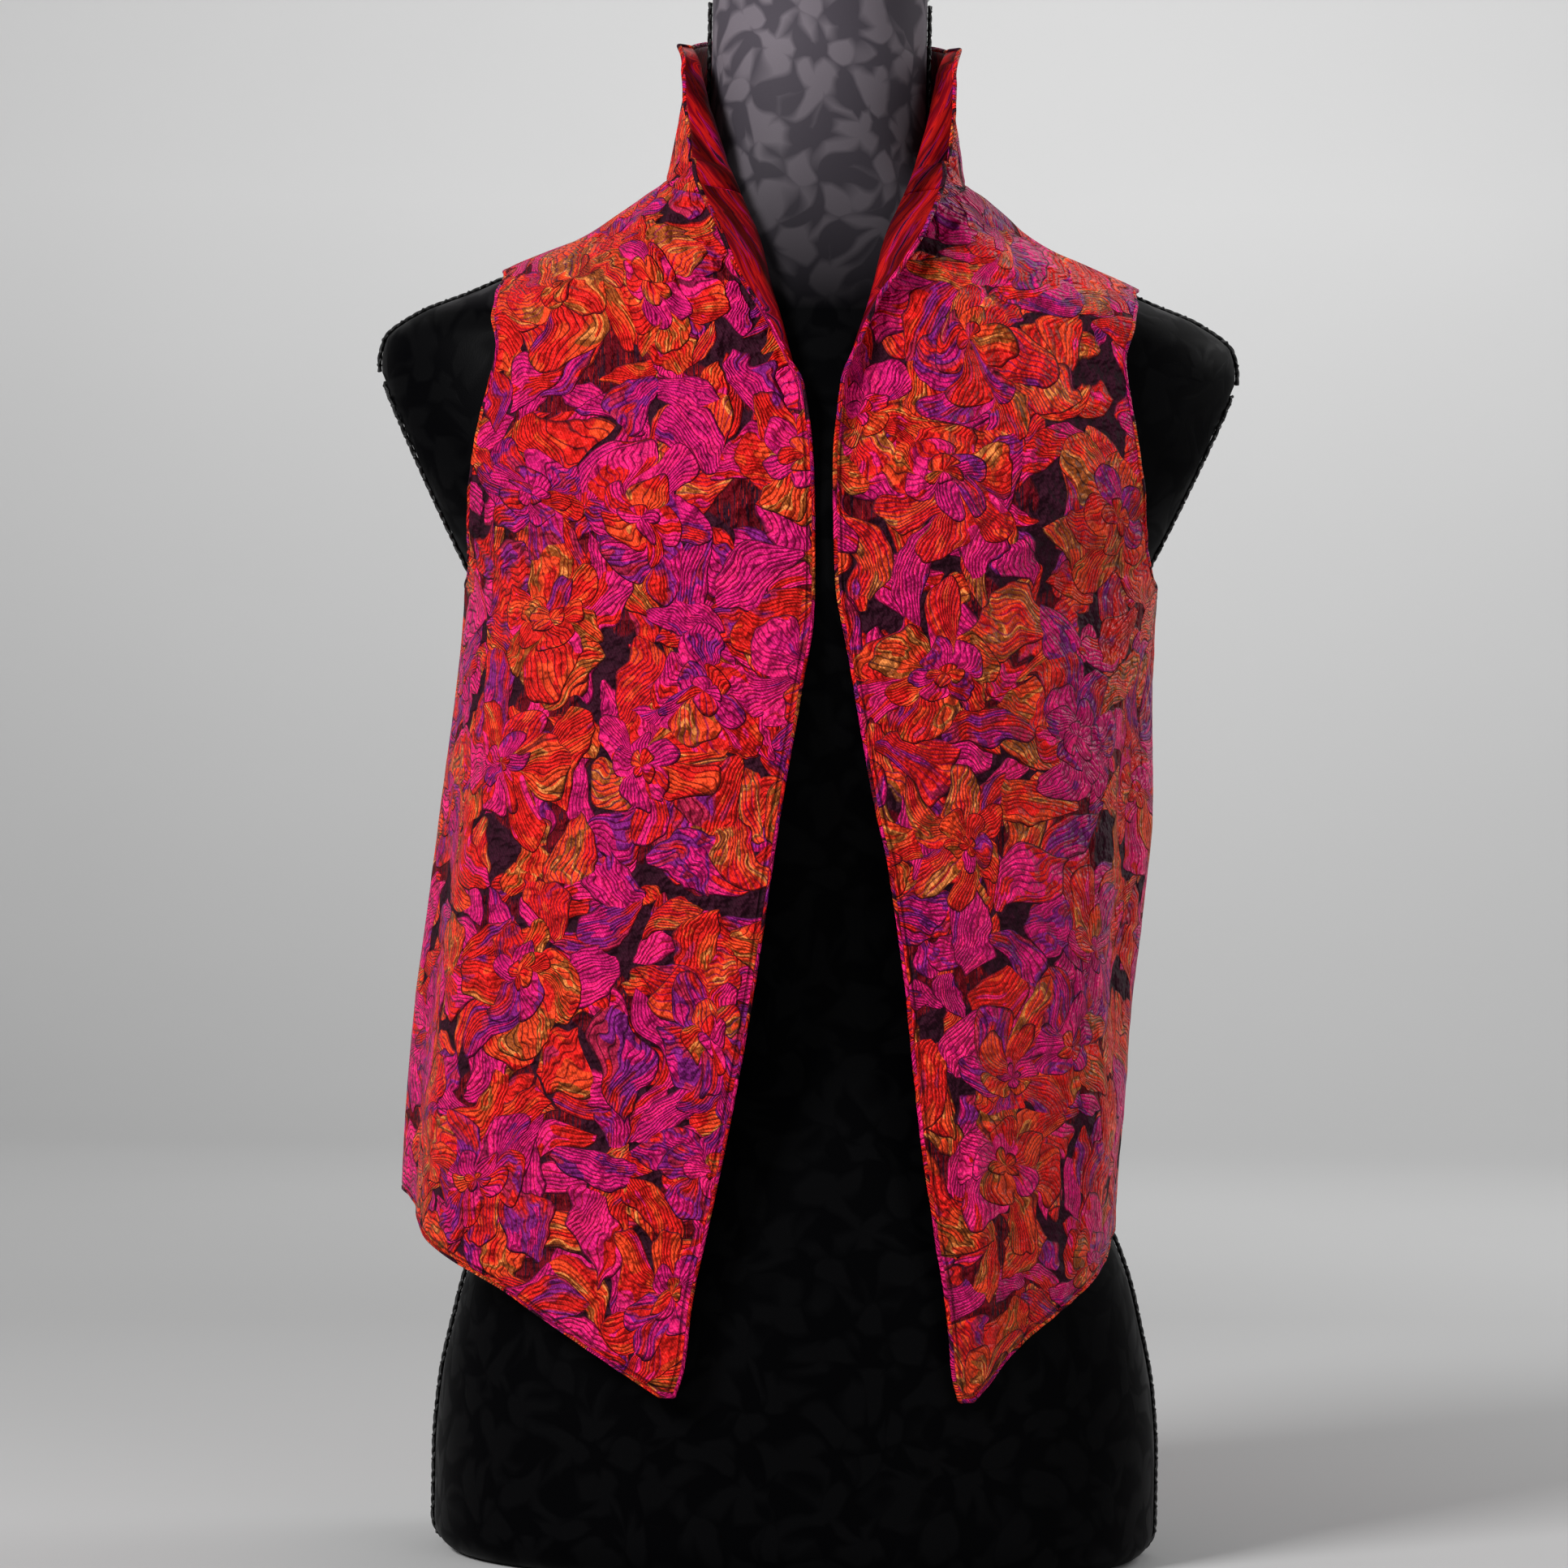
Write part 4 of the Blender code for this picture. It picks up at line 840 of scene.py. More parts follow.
def column_reader(table: Sequence[Sequence[float]], column: int) -> Callable:
    """Make a smooth reader of one column of a table, on a curve that never overshoots.

    Args:
        table: Rows whose first value is the key.
        column: Which column is read.

    Returns:
        A function from an array of keys to an array of values.
    """
    keys = np.array([row[0] for row in table])
    values = np.array([row[column] for row in table])
    step = np.diff(keys)
    slope = np.diff(values) / step
    tangent = np.zeros(len(keys))
    tangent[0], tangent[-1] = slope[0], slope[-1]
    for i in range(1, len(keys) - 1):
        left, right = slope[i - 1], slope[i]
        tangent[i] = 0.0 if left * right <= 0.0 else 2.0 * left * right / (left + right)

    def read(key: Any) -> np.ndarray:
        """Read the column at an array of keys.

        Args:
            key: Keys, such as heights.

        Returns:
            Values of the column there.
        """
        key = np.clip(np.asarray(key, float), keys[0], keys[-1])
        i = np.clip(np.searchsorted(keys, key) - 1, 0, len(step) - 1)
        t = (key - keys[i]) / step[i]
        near = (1 + 2 * t) * (1 - t) ** 2 * values[i] + t * (1 - t) ** 2 * step[i] * tangent[i]
        far = t * t * (3 - 2 * t) * values[i + 1] + t * t * (t - 1) * step[i] * tangent[i + 1]
        return near + far

    return read


def fade(value: Any, start: float, end: float) -> np.ndarray:
    """Rise smoothly from 0 at start to 1 at end."""
    t = np.clip((np.asarray(value, float) - start) / (end - start), 0.0, 1.0)
    return t * t * (3 - 2 * t)


def unit(vectors: np.ndarray) -> np.ndarray:
    """Scale vectors to length one."""
    return vectors / np.maximum(np.linalg.norm(vectors, axis=-1, keepdims=True), 1e-12)


def distances(path: np.ndarray) -> np.ndarray:
    """Distance travelled along a path at each of its points."""
    return np.concatenate([[0.0], np.cumsum(np.linalg.norm(np.diff(path, axis=0), axis=1))])


@dataclass
class Rings:
    """A body read from a table of horizontal rings.

    The angle is measured from straight ahead, positive to the right, up to 180 at the back.
    """

    table: Sequence[Sequence[float]]
    left: int
    right: int
    front: int
    back: int
    power: int
    lean: Optional[int] = None
    readers: dict[int, Callable] = field(default_factory=dict)

    def __post_init__(self) -> None:
        """Make the readers of the table's columns."""
        for column in range(1, len(self.table[0])):
            self.readers[column] = column_reader(self.table, column)

    def centre(self, height: Any) -> np.ndarray:
        """Sideways lean of the ring at a height."""
        return self.readers[self.lean](height) if self.lean else np.zeros(np.shape(height))

    def point(self, angle: Any, height: Any) -> np.ndarray:
        """Points of the rings at angles in degrees and heights.

        Args:
            angle: Angles round the ring.
            height: Heights, of the same shape.

        Returns:
            Points, with one more axis.
        """
        across = np.sin(np.radians(angle))
        ahead = np.cos(np.radians(angle))
        width = np.where(across >= 0.0, self.readers[self.right](height),
                         self.readers[self.left](height))
        depth = np.where(ahead >= 0.0, self.readers[self.front](height),
                         self.readers[self.back](height))
        power = self.readers[self.power](height)
        reach = ((np.abs(across) / width) ** power + (np.abs(ahead) / depth) ** power)
        reach = reach ** (-1.0 / power)
        return np.stack([self.centre(height) + reach * across, -reach * ahead,
                         np.broadcast_to(height, reach.shape)], axis=-1)

    def normal(self, angle: Any, height: Any) -> np.ndarray:
        """Outward directions, square to both seam planes.

        Args:
            angle: Angles from straight ahead.
            height: Heights.

        Returns:
            Unit directions.
        """
        turn, rise = 0.5, 0.8
        along = self.point(angle + turn, height) - self.point(angle - turn, height)
        up = self.point(angle, height + rise) - self.point(angle, height - rise)
        outward = np.cross(along, up)
        near_seam = fade(np.abs(np.abs(np.abs(angle) - 90.0)), 0.0, 1.2)
        outward[..., 1] *= near_seam
        return unit(outward)

    def angle_at(self, across: Any, height: Any) -> np.ndarray:
        """The angle at which the front of the ring lies a distance across.

        Args:
            across: Sideways places.
            height: Heights.

        Returns:
            Angles from straight ahead.
        """
        width = np.where(np.asarray(across) >= 0.0, self.readers[self.right](height),
                         self.readers[self.left](height))
        depth, power = self.readers[self.front](height), self.readers[self.power](height)
        offset = across - self.centre(height)
        share = np.minimum(np.abs(offset) / width, 1.0)
        return np.degrees(np.arctan2(offset, depth * (1.0 - share ** power) ** (1.0 / power)))


FORM = Rings(FORM_RINGS, 1, 1, 2, 3, 4, 5)
CLOTH = Rings(CLOTH_RINGS, 1, 2, 3, 4, 5)


def pucker(angle: np.ndarray, height: np.ndarray) -> np.ndarray:
    """Soft uneven cockling of the heavy woven cloth, from waves that bend one another.

    Args:
        angle: Angles round the ring.
        height: Heights.

    Returns:
        How far the cloth stands out, in millimetres.
    """
    arc = angle * ARC_PER_DEGREE
    bent = arc + 5.0 * np.sin(height / 23.0) + 3.0 * np.sin(height / 9.0 + arc / 21.0)
    level = height + 6.0 * np.sin(arc / 19.0) + 3.0 * np.sin(arc / 8.0 - height / 27.0)
    total = 0.42 * np.sin(bent / 8.3 + 1.3) * np.sin(level / 9.7)
    total += 0.34 * np.sin(bent / 4.1 + 2.0) * np.sin(level / 5.2 + 0.8)
    total += 0.24 * np.sin((bent + level) / 3.1) * np.sin((bent - level) / 4.3 + 1.1)
    total += 0.55 * np.sin(arc / 23.0 + 0.7) * np.sin(height / 31.0 + 1.1 * np.sin(arc / 19.0))
    return total


def fold_sum(folds: Sequence[tuple], angle: np.ndarray, height: np.ndarray) -> np.ndarray:
    """How far a list of folds moves the cloth at each place, in millimetres.

    Args:
        folds: Rows of a table of folds.
        angle: Angles round the ring.
        height: Heights.

    Returns:
        The distances, outward above zero.
    """
    total = np.zeros(np.shape(angle + height))
    for top_angle, foot_angle, top, foot, half_width, rise in folds:
        share = np.clip((top - height) / (top - foot), 0.0, 1.0)
        middle = top_angle + (foot_angle - top_angle) * share
        along = np.exp(-((angle - middle) / half_width) ** 2)
        run_out = min(FOLD_RUN_OUT, 0.8 * (top - foot))
        grown = fade(height, top, top - FOLD_GROWTH_SHARE * (top - foot))
        total = total + rise * along * grown * (1.0 - fade(height, foot, foot - run_out))
    return total


def cloth_place(angle: np.ndarray, height: np.ndarray,
                behind: bool) -> tuple[np.ndarray, np.ndarray]:
    """Points on the outer face of the cloth, with their outward directions.

    Args:
        angle: Angles from straight ahead, or from straight behind.
        height: Heights.
        behind: Whether the cloth is the back.

    Returns:
        Points and unit directions.
    """
    ring_angle = np.copysign(180.0 - np.abs(angle), angle) if behind else angle
    outward = CLOTH.normal(ring_angle, height)
    side = "back" if behind else "front"
    small = pucker(angle, height) * fade(height, 700.0, 640.0)
    small = small + fold_sum(CREASES[side], angle, height)
    shift = fold_sum(FOLDS[side], angle, height) + np.clip(small, -INWARD_LIMIT, None)
    shift = shift * fade(90.0 - np.abs(angle), 0.0, 9.0)
    return CLOTH.point(ring_angle, height) + outward * shift[..., None], outward


@dataclass
class EdgeRoll:
    """The soft lapel: how a front edge turns back on itself, and how far."""

    side: str
    columns: int = 14

    def __post_init__(self) -> None:
        """Make the readers of the edge's table."""
        self.readers = [column_reader(FRONT_EDGE[self.side], c) for c in (1, 2, 3)]

    def start_angle(self, height: np.ndarray) -> np.ndarray:
        """Angle round the ring at which the turned strip leaves the flat of the cloth.

        Args:
            height: Heights.

        Returns:
            Angles from straight ahead.
        """
        seen, turn, length = [read(height) for read in self.readers]
        bend = np.abs(np.radians(turn))
        arc = np.minimum(FOLD_RADIUS * bend, length)
        reach = FOLD_RADIUS * np.sin(np.minimum(bend, math.pi / 2))
        reach = reach + (length - arc) * np.maximum(np.cos(bend), 0.0)
        blend = fade(turn, 70.0, 100.0)
        reach = reach * (1.0 - blend) + (FOLD_RADIUS + WALL) * blend
        outward = -1.0 if self.side == "left" else 1.0
        return CLOTH.angle_at(seen + outward * reach, height)

    def strip(self, height: np.ndarray, start: np.ndarray, outward: np.ndarray,
              beyond: np.ndarray) -> tuple[np.ndarray, np.ndarray]:
        """Points and directions of the turned strip.

        Args:
            height: Height of each row.
            start: Where each row leaves the flat of the cloth.
            outward: Outward directions there.
            beyond: The next points into the cloth.

        Returns:
            Points and directions, rows by columns, ordered away from the cloth.
        """
        _, turn, length = [read(height) for read in self.readers]
        way = start - beyond
        way = way - outward * np.sum(way * outward, axis=-1, keepdims=True)
        way[:, 2] = 0.0
        way = unit(way)
        bend = np.radians(turn)
        lift = np.where(bend >= 0.0, 1.0, -1.0)
        radius = np.where(bend >= 0.0, FOLD_RADIUS, FOLD_RADIUS + WALL)
        arc = radius * np.abs(bend)
        points, directions = [], []
        for i in range(1, self.columns + 1):
            distance = length * i / self.columns
            swung = np.minimum(distance / radius, np.abs(bend))
            straight = np.maximum(distance - arc, 0.0)
            forward = radius * np.sin(swung) + straight * np.cos(swung)
            raised = lift * (radius * (1.0 - np.cos(swung)) + straight * np.sin(swung))
            points.append(start + way * forward[:, None] + outward * raised[:, None])
            directions.append(outward * np.cos(swung)[:, None]
                              - way * (lift * np.sin(swung))[:, None])
        return np.stack(points, axis=1), np.stack(directions, axis=1)


EDGES = {side: EdgeRoll(side) for side in ("left", "right")}


def spread_rows(stops: Sequence[tuple[float, int]]) -> np.ndarray:
    """Heights that run evenly between stops.

    Args:
        stops: Heights, each with the rows that follow it.

    Returns:
        The height of each row.
    """
    heights = [np.array([stops[0][0]])]
    for (low, rows), (high, _) in zip(stops, stops[1:]):
        heights.append(np.linspace(low, high, rows + 1)[1:])
    return np.concatenate(heights)


@dataclass
class RowPlan:
    """How many rows the skirt, the armhole and the shoulder of a panel have."""

    skirt: int = 118
    armhole: int = 112
    shoulder: int = 44

    def outer_line(self, side: str, behind: bool) -> tuple[np.ndarray, np.ndarray]:
        """Heights and angles up the side seam, round the armhole and along the shoulder.

        Args:
            side: left or right.
            behind: Whether the cloth is the back.

        Returns:
            Heights and angles.
        """
        sign = -1.0 if side == "left" else 1.0
        low, high = ARMHOLE_BOTTOM, SHOULDER_TIP[side]
        share = 0.5 - 0.5 * np.cos(np.linspace(0.0, math.pi, 801))
        height = low + (high - low) * share
        angle = sign * column_reader(ARMHOLE["back" if behind else "front"], 1)(share)
        points = cloth_place(angle, height, behind)[0]
        travelled = distances(points)
        wanted = np.linspace(0.0, travelled[-1], self.armhole + 1)[1:]
        seam = np.linspace(SIDE_HEM[side], low, self.skirt + 1)
        shoulder = np.linspace(high, NECK_POINT, self.shoulder + 1)[1:]
        heights = np.concatenate([seam, np.interp(wanted, travelled, height), shoulder])
        angles = np.concatenate([np.full(len(seam), sign * 90.0),
                                 np.interp(wanted, travelled, angle),
                                 np.full(len(shoulder), sign * 90.0)])
        return heights, angles


@dataclass
class ClothMesh:
    """A thin wall of cloth between an outer and an inner grid of points.

    The grid runs hem first, and its first column is the free edge or the side seam.
    """

    name: str
    outer: np.ndarray
    directions: np.ndarray
    behind: Optional[bool] = None
    half: Optional[str] = None
    anchor: int = 0
    shift: tuple[float, float] = (0.0, 0.0)
    finished: tuple[bool, bool, bool] = (True, True, False)
    rim_thinning: float = 0.3
    relax_rounds: int = 260
    relax_rate: float = 0.22

    def grids(self) -> tuple[np.ndarray, np.ndarray]:
        """Outer and inner grids, thinned at the rim, each on its own side of its seams."""
        thin = np.zeros(self.outer.shape[:2])
        thin[0, :] = thin[-1, :] = thin[:, 0] = thin[:, -1] = self.rim_thinning
        outer = self.outer - self.directions * (WALL * thin[..., None])
        inner = self.outer - self.directions * (WALL * (1.0 - thin[..., None]))
        gap = SEAM_GAP / 4
        for grid in (outer, inner):
            if self.behind is not None:
                grid[..., 1] = np.maximum(grid[..., 1], gap) if self.behind else np.minimum(
                    grid[..., 1], -gap)
            if self.half == "left":
                grid[..., 0] = np.minimum(grid[..., 0], -gap)
            elif self.half == "right":
                grid[..., 0] = np.maximum(grid[..., 0], gap)
        return outer, inner

    def flat_map(self) -> np.ndarray:
        """Where each point lay on the flat cloth in metres, found by relaxing its threads."""
        step = np.linalg.norm(np.diff(self.outer[..., :2], axis=1), axis=2)
        rows = len(self.outer)
        across = np.concatenate([np.zeros((rows, 1)), np.cumsum(step, axis=1)], axis=1)
        across = across - across[:, self.anchor:self.anchor + 1]
        middle = self.outer[:, self.anchor:self.anchor + 1, 0]
        heading = np.sign(np.gradient(self.outer[..., 0], axis=1)[:, self.anchor].mean())
        flat = np.stack([middle + heading * across, self.outer[..., 2]], axis=-1)
        whole, start, end = slice(None), slice(None, -1), slice(1, None)
        pairs = [((whole, start), (whole, end)), ((start, whole), (end, whole)),
                 ((start, start), (end, end)), ((start, end), (end, start))]
        rests = [np.linalg.norm(self.outer[b] - self.outer[a], axis=-1) for a, b in pairs]
        for _ in range(self.relax_rounds):
            pull = np.zeros_like(flat)
            for (a, b), rest in zip(pairs, rests):
                way = flat[b] - flat[a]
                length = np.maximum(np.linalg.norm(way, axis=-1), 1e-6)
                way = way * (0.5 * (1.0 - rest / length))[..., None]
                pull[a] += way
                pull[b] -= way
            flat = flat + pull * self.relax_rate
        return flat * MM + np.array(self.shift)

    def edge_map(self) -> np.ndarray:
        """Distance of each point from the nearest finished edge in metres, and a spare zero."""
        along = np.linalg.norm(np.diff(self.outer, axis=1), axis=2)
        up = np.linalg.norm(np.diff(self.outer, axis=0), axis=2)
        rows, columns = self.outer.shape[:2]
        from_free = np.concatenate([np.zeros((rows, 1)), np.cumsum(along, axis=1)], axis=1)
        from_hem = np.concatenate([np.zeros((1, columns)), np.cumsum(up, axis=0)], axis=0)
        from_top = from_hem[-1:] - from_hem
        distance = np.full((rows, columns), 99.0)
        for used, values in zip(self.finished, (from_free, from_hem, from_top)):
            if used:
                distance = np.minimum(distance, values)
        return np.stack([distance, np.zeros_like(distance)], axis=-1) * MM

    def build(self, face: bpy.types.Material, reverse: bpy.types.Material) -> bpy.types.Object:
        """Make the closed mesh object.

        Args:
            face: The cloth's material on its right side.
            reverse: The cloth's material on its wrong side.

        Returns:
            The object.
        """
        outer, inner = self.grids()
        rows, columns = outer.shape[:2]
        count = rows * columns
        points = np.concatenate([outer.reshape(-1, 3), inner.reshape(-1, 3)])
        flat = self.flat_map().reshape(-1, 2)
        edge = self.edge_map().reshape(-1, 2)
        index = np.arange(count).reshape(rows, columns)
        a, b, c, d = index[:-1, :-1], index[:-1, 1:], index[1:, 1:], index[1:, :-1]
        face_out = np.stack([a, b, c, d], axis=-1).reshape(-1, 4)
        face_in = face_out[:, ::-1] + count
        rim = np.concatenate([index[0, :-1], index[:-1, -1], index[-1, :0:-1], index[:0:-1, 0]])
        after = np.roll(rim, -1)
        face_rim = np.stack([after, rim, rim + count, after + count], axis=-1)
        faces = np.concatenate([face_out, face_in, face_rim])
        item = mesh_object(self.name, points, faces.tolist(), np.concatenate([flat, flat]), face,
                           np.concatenate([edge, edge]))
        item.data.materials.append(reverse)
        slots = np.zeros(len(faces), np.int32)
        slots[len(face_out):2 * len(face_out)] = 1
        item.data.polygons.foreach_set("material_index", slots)
        return item


def mesh_object(name: str, points: np.ndarray, faces: list, flat: np.ndarray,
                material: bpy.types.Material,
                edge: Optional[np.ndarray] = None) -> bpy.types.Object:
    """Make an object at the origin from points in millimetres, shaded smooth.

    Args:
        name: The object's name.
        points: Points in millimetres, measured from the seam plane.
        faces: Corner lists.
        flat: Place of each point on the flat cloth in metres.
        material: The material.
        edge: Distance of each point from a finished edge in metres, if it is cloth.

    Returns:
        The object.
    """
    mesh = bpy.data.meshes.new(name)
    placed = (points + np.array([0.0, ORIGIN_AHEAD, 0.0])) * MM
    mesh.from_pydata(placed.tolist(), [], faces)
    corners = np.zeros(len(mesh.loops), np.int32)
    mesh.loops.foreach_get("vertex_index", corners)
    edge = np.full(flat.shape, 0.05) if edge is None else edge
    for layer_name, values in (("cloth", flat), ("edge", edge)):
        layer = mesh.uv_layers.new(name=layer_name)
        layer.data.foreach_set("uv", values[corners].astype(np.float32).ravel())
    work = bmesh.new()
    work.from_mesh(mesh)
    bmesh.ops.recalc_face_normals(work, faces=work.faces)
    work.to_mesh(mesh)
    work.free()
    mesh.shade_smooth()
    mesh.materials.append(material)
    item = bpy.data.objects.new(name, mesh)
    bpy.context.collection.objects.link(item)
    return item


def sweep(name: str, path: np.ndarray, radius: float, sides: int, closed: bool,
          material: bpy.types.Material) -> bpy.types.Object:
    """Sweep a round section along a path.

    Args:
        name: The object's name.
        path: Points in millimetres.
        radius: Radius of the section in millimetres.
        sides: Sides of the section.
        closed: Whether the path is a loop.
        material: The material.

    Returns:
        The object.
    """
    if closed:
        along = unit(np.roll(path, -1, axis=0) - np.roll(path, 1, axis=0))
    else:
        along = unit(np.gradient(path, axis=0))
    side = np.cross(along[0], [0.13, 0.92, 0.37])
    frames = []
    for way in along:
        side = unit(side - way * np.dot(side, way))
        frames.append((side, np.cross(way, side)))
    turns = 2 * math.pi * np.arange(sides) / sides
    ring = [[np.cos(t) * s + np.sin(t) * u for t in turns] for s, u in frames]
    points = path[:, None, :] + radius * np.array(ring)
    count = len(path)
    faces = []
    for j in range(count if closed else count - 1):
        k = (j + 1) % count
        for i in range(sides):
            n = (i + 1) % sides
            faces.append((j * sides + i, j * sides + n, k * sides + n, k * sides + i))
    if not closed:
        faces.append(tuple(range(sides)))
        faces.append(tuple((count - 1) * sides + i for i in range(sides)))
    travelled = distances(path)
    flat = np.zeros((count, sides, 2))
    flat[..., 0] = travelled[:, None] * MM
    flat[..., 1] = (2 * math.pi * radius * np.arange(sides) / sides)[None, :] * MM
    return mesh_object(name, points.reshape(-1, 3), faces, flat.reshape(-1, 2), material)


@dataclass
class FrontPanel:
    """One front, from its rolled edge to the side seam, armhole and shoulder seam."""

    side: str
    cloth: bpy.types.Material
    reverse: bpy.types.Material
    columns: int = 92
    plan: RowPlan = field(default_factory=RowPlan)
    middle_stop: float = 300.0
    upper_stop: float = 604.0

    def grid(self) -> tuple[np.ndarray, np.ndarray]:
        """Points and directions of the outer face, hem first, turned edge first."""
        hem = HEM[self.side]
        edge = EDGES[self.side]
        low = FRONT_EDGE[self.side][0][0]
        heights = spread_rows([(low, self.plan.skirt), (self.middle_stop, self.plan.armhole),
                               (self.upper_stop, self.plan.shoulder), (FRONT_NECK, 0)])
        outer_height, outer_angle = self.plan.outer_line(self.side, False)
        start = edge.start_angle(heights)
        share = np.linspace(0.0, 1.0, self.columns + 1)[None, :]
        angle = start[:, None] + (outer_angle - start)[:, None] * share
        height = heights[:, None] + (outer_height - heights)[:, None] * share
        across = CLOTH.point(angle, height)[..., 0]
        wanted = np.interp(across, [h[0] for h in hem], [h[1] for h in hem])
        straight = low + (hem[0][1] + hem[-1][1] - 2 * low) * share
        rows = np.arange(len(heights))[:, None]
        height = height + (wanted - straight) * np.maximum(1.0 - rows / self.plan.skirt, 0.0) ** 1.5
        rising = np.clip((heights - self.upper_stop) / (FRONT_NECK - self.upper_stop), 0.0, 1.0)
        ease = (1.0 - np.cos(math.pi * share)) / 2.0
        curved = heights[:, None] + (outer_height - heights)[:, None] * ease
        height = height + (curved - height) * rising[:, None]
        points, directions = cloth_place(angle, height, False)
        strip, facing = edge.strip(heights, points[:, 0], directions[:, 0], points[:, 2])
        return (np.concatenate([strip[:, ::-1], points], axis=1),
                np.concatenate([facing[:, ::-1], directions], axis=1))

    def build(self) -> bpy.types.Object:
        """Make the panel with its piped edge and armhole edge, and attach them to the root body."""
        points, directions = self.grid()
        name = f"front_{self.side}_cloth"
        shift = (0.0, 0.0) if self.side == "left" else (0.41, 0.17)
        columns = EDGES[self.side].columns
        cloth = ClothMesh(name, points, directions, False, None, columns, shift)
        panel = cloth.build(self.cloth, self.reverse)
        core = points - directions * WALL / 2
        armhole = self.plan.skirt + self.plan.armhole
        path = np.concatenate([core[0, ::-1], core[1:, 0]])
        piping = sweep(f"front_{self.side}_piping", path, WALL * 0.56, 8, False, self.cloth)
        hole = core[self.plan.skirt:armhole + 1, -1]
        binding = sweep(f"front_{self.side}_armhole_edge", hole, WALL * 0.54, 8, False, self.cloth)
        return dress_sheet(panel, [piping, binding], [f"front_{self.side}"])


@dataclass
class BackPanel:
    """Half of the back, from its outer line to the centre back seam."""

    side: str
    cloth: bpy.types.Material
    reverse: bpy.types.Material
    columns: int = 92
    plan: RowPlan = field(default_factory=RowPlan)
    middle_stop: float = 330.0
    upper_stop: float = 612.0

    def build(self) -> bpy.types.Object:
        low = (SIDE_HEM["left"] + SIDE_HEM["right"]) / 2 - BACK_HEM_DIP
        centre = spread_rows([(low, self.plan.skirt), (self.middle_stop, self.plan.armhole),
                              (self.upper_stop, self.plan.shoulder),
                              (NECK_POINT + BACK_NECK_RISE, 0)])
        side_height, side_angle = self.plan.outer_line(self.side, True)
        share = np.linspace(1.0, 0.0, self.columns + 1)[None, :]
        height = side_height[:, None] + (centre - side_height)[:, None] * (1.0 - share * share)
        points, directions = cloth_place(share * side_angle[:, None], height, True)
        shift = (0.83, 0.05) if self.side == "left" else (1.57, 0.21)
        cloth = ClothMesh(f"back_{self.side}_cloth", points, directions, True, self.side,
                          self.columns, shift, (False, True, False))
        panel = cloth.build(self.cloth, self.reverse)
        core = points - directions * WALL / 2
        top = self.plan.skirt + self.plan.armhole
        hem = sweep(f"back_{self.side}_hem_edge", core[0], WALL * 0.56, 8, False, self.cloth)
        hole = sweep(f"back_{self.side}_armhole_edge", core[self.plan.skirt:top + 1, 0],
                     WALL * 0.54, 8, False, self.cloth)
        return dress_sheet(panel, [hem, hole], [f"back_{self.side}"])


@dataclass
class StandCollar:
    """Half of the tall collar, whose end rolls on from the lapel."""

    side: str
    cloth: bpy.types.Material
    reverse: bpy.types.Material
    columns: int = 76
    rows: int = 34

    def height(self, around: np.ndarray, up: np.ndarray, seam_start: float) -> np.ndarray:
        """Height of the collar's points.

        Args:
            around: Angles from straight behind.
            up: Share of the way from the neck seam to the free edge.
            seam_start: Angle at which the neck seam starts at the front.

        Returns:
            Heights.
        """
        around = np.minimum(around, seam_start)
        share = around / 90.0
        foot = NECK_POINT + BACK_NECK_RISE * (1.0 - share * share)
        top = COLLAR_TOP["back"] + (COLLAR_TOP["side"] - COLLAR_TOP["back"]) * share ** 2
        ahead = np.clip((seam_start - around) / (seam_start - 90.0), 0.0, 1.0)
        front_foot = FRONT_NECK + (NECK_POINT - FRONT_NECK) * (1.0 - np.cos(math.pi * ahead)) / 2.0
        front_top = COLLAR_TOP["front"] + (COLLAR_TOP["side"] - COLLAR_TOP["front"]) * np.sin(
            math.pi * ahead / 2)
        foot = np.where(around <= 90.0, foot, front_foot)
        top = np.where(around <= 90.0, top, front_top)
        return foot + SEAM_GAP / 2 + (top - foot) * up

    def build(self) -> bpy.types.Object:
        sign = -1.0 if self.side == "left" else 1.0
        edge = EDGES[self.side]
        up = np.linspace(0.0, 1.0, self.rows + 1)
        end_height = FRONT_NECK + SEAM_GAP / 2 + (COLLAR_TOP["front"] - FRONT_NECK) * up
        start = 180.0 - np.abs(edge.start_angle(end_height))
        around = start[:, None] * np.linspace(1.0, 0.0, self.columns + 1)[None, :]
        height = self.height(around, up[:, None], start[0])
        behind = (around <= 90.0)[..., None]
        rear, rear_ways = cloth_place(sign * around, height, True)
        ahead, ahead_ways = cloth_place(sign * (180.0 - around), height, False)
        points = np.where(behind, rear, ahead)
        ways = np.where(behind, rear_ways, ahead_ways)
        strip, facing = edge.strip(end_height, points[:, 0], ways[:, 0], points[:, 2])
        points = np.concatenate([strip[:, ::-1], points], axis=1)
        ways = np.concatenate([facing[:, ::-1], ways], axis=1)
        shift = (1.31, 0.23) if self.side == "left" else (1.93, 0.37)
        cloth = ClothMesh(f"collar_{self.side}_cloth", points, ways, None, self.side,
                          edge.columns, shift, (True, False, True))
        collar = cloth.build(self.cloth, self.reverse)
        core = points - ways * WALL / 2
        path = np.concatenate([core[:-1, 0], core[-1]])
        piping = sweep(f"collar_{self.side}_piping", path, WALL * 0.56, 8, False, self.cloth)
        return dress_sheet(collar, [piping], [f"collar_{self.side}"])


def dress_sheet(cloth: bpy.types.Object, trims: list, nodes: list[str]) -> bpy.types.Object:
    """Args:
        cloth: The piece of cloth.
        trims: Edges sewn on it.
        nodes: The construction pieces that it stands for.

    Returns:
        The cloth.
    """
    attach(cloth, "root")
    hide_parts(*nodes)
    for trim in trims:
        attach(trim, "root")
    return cloth


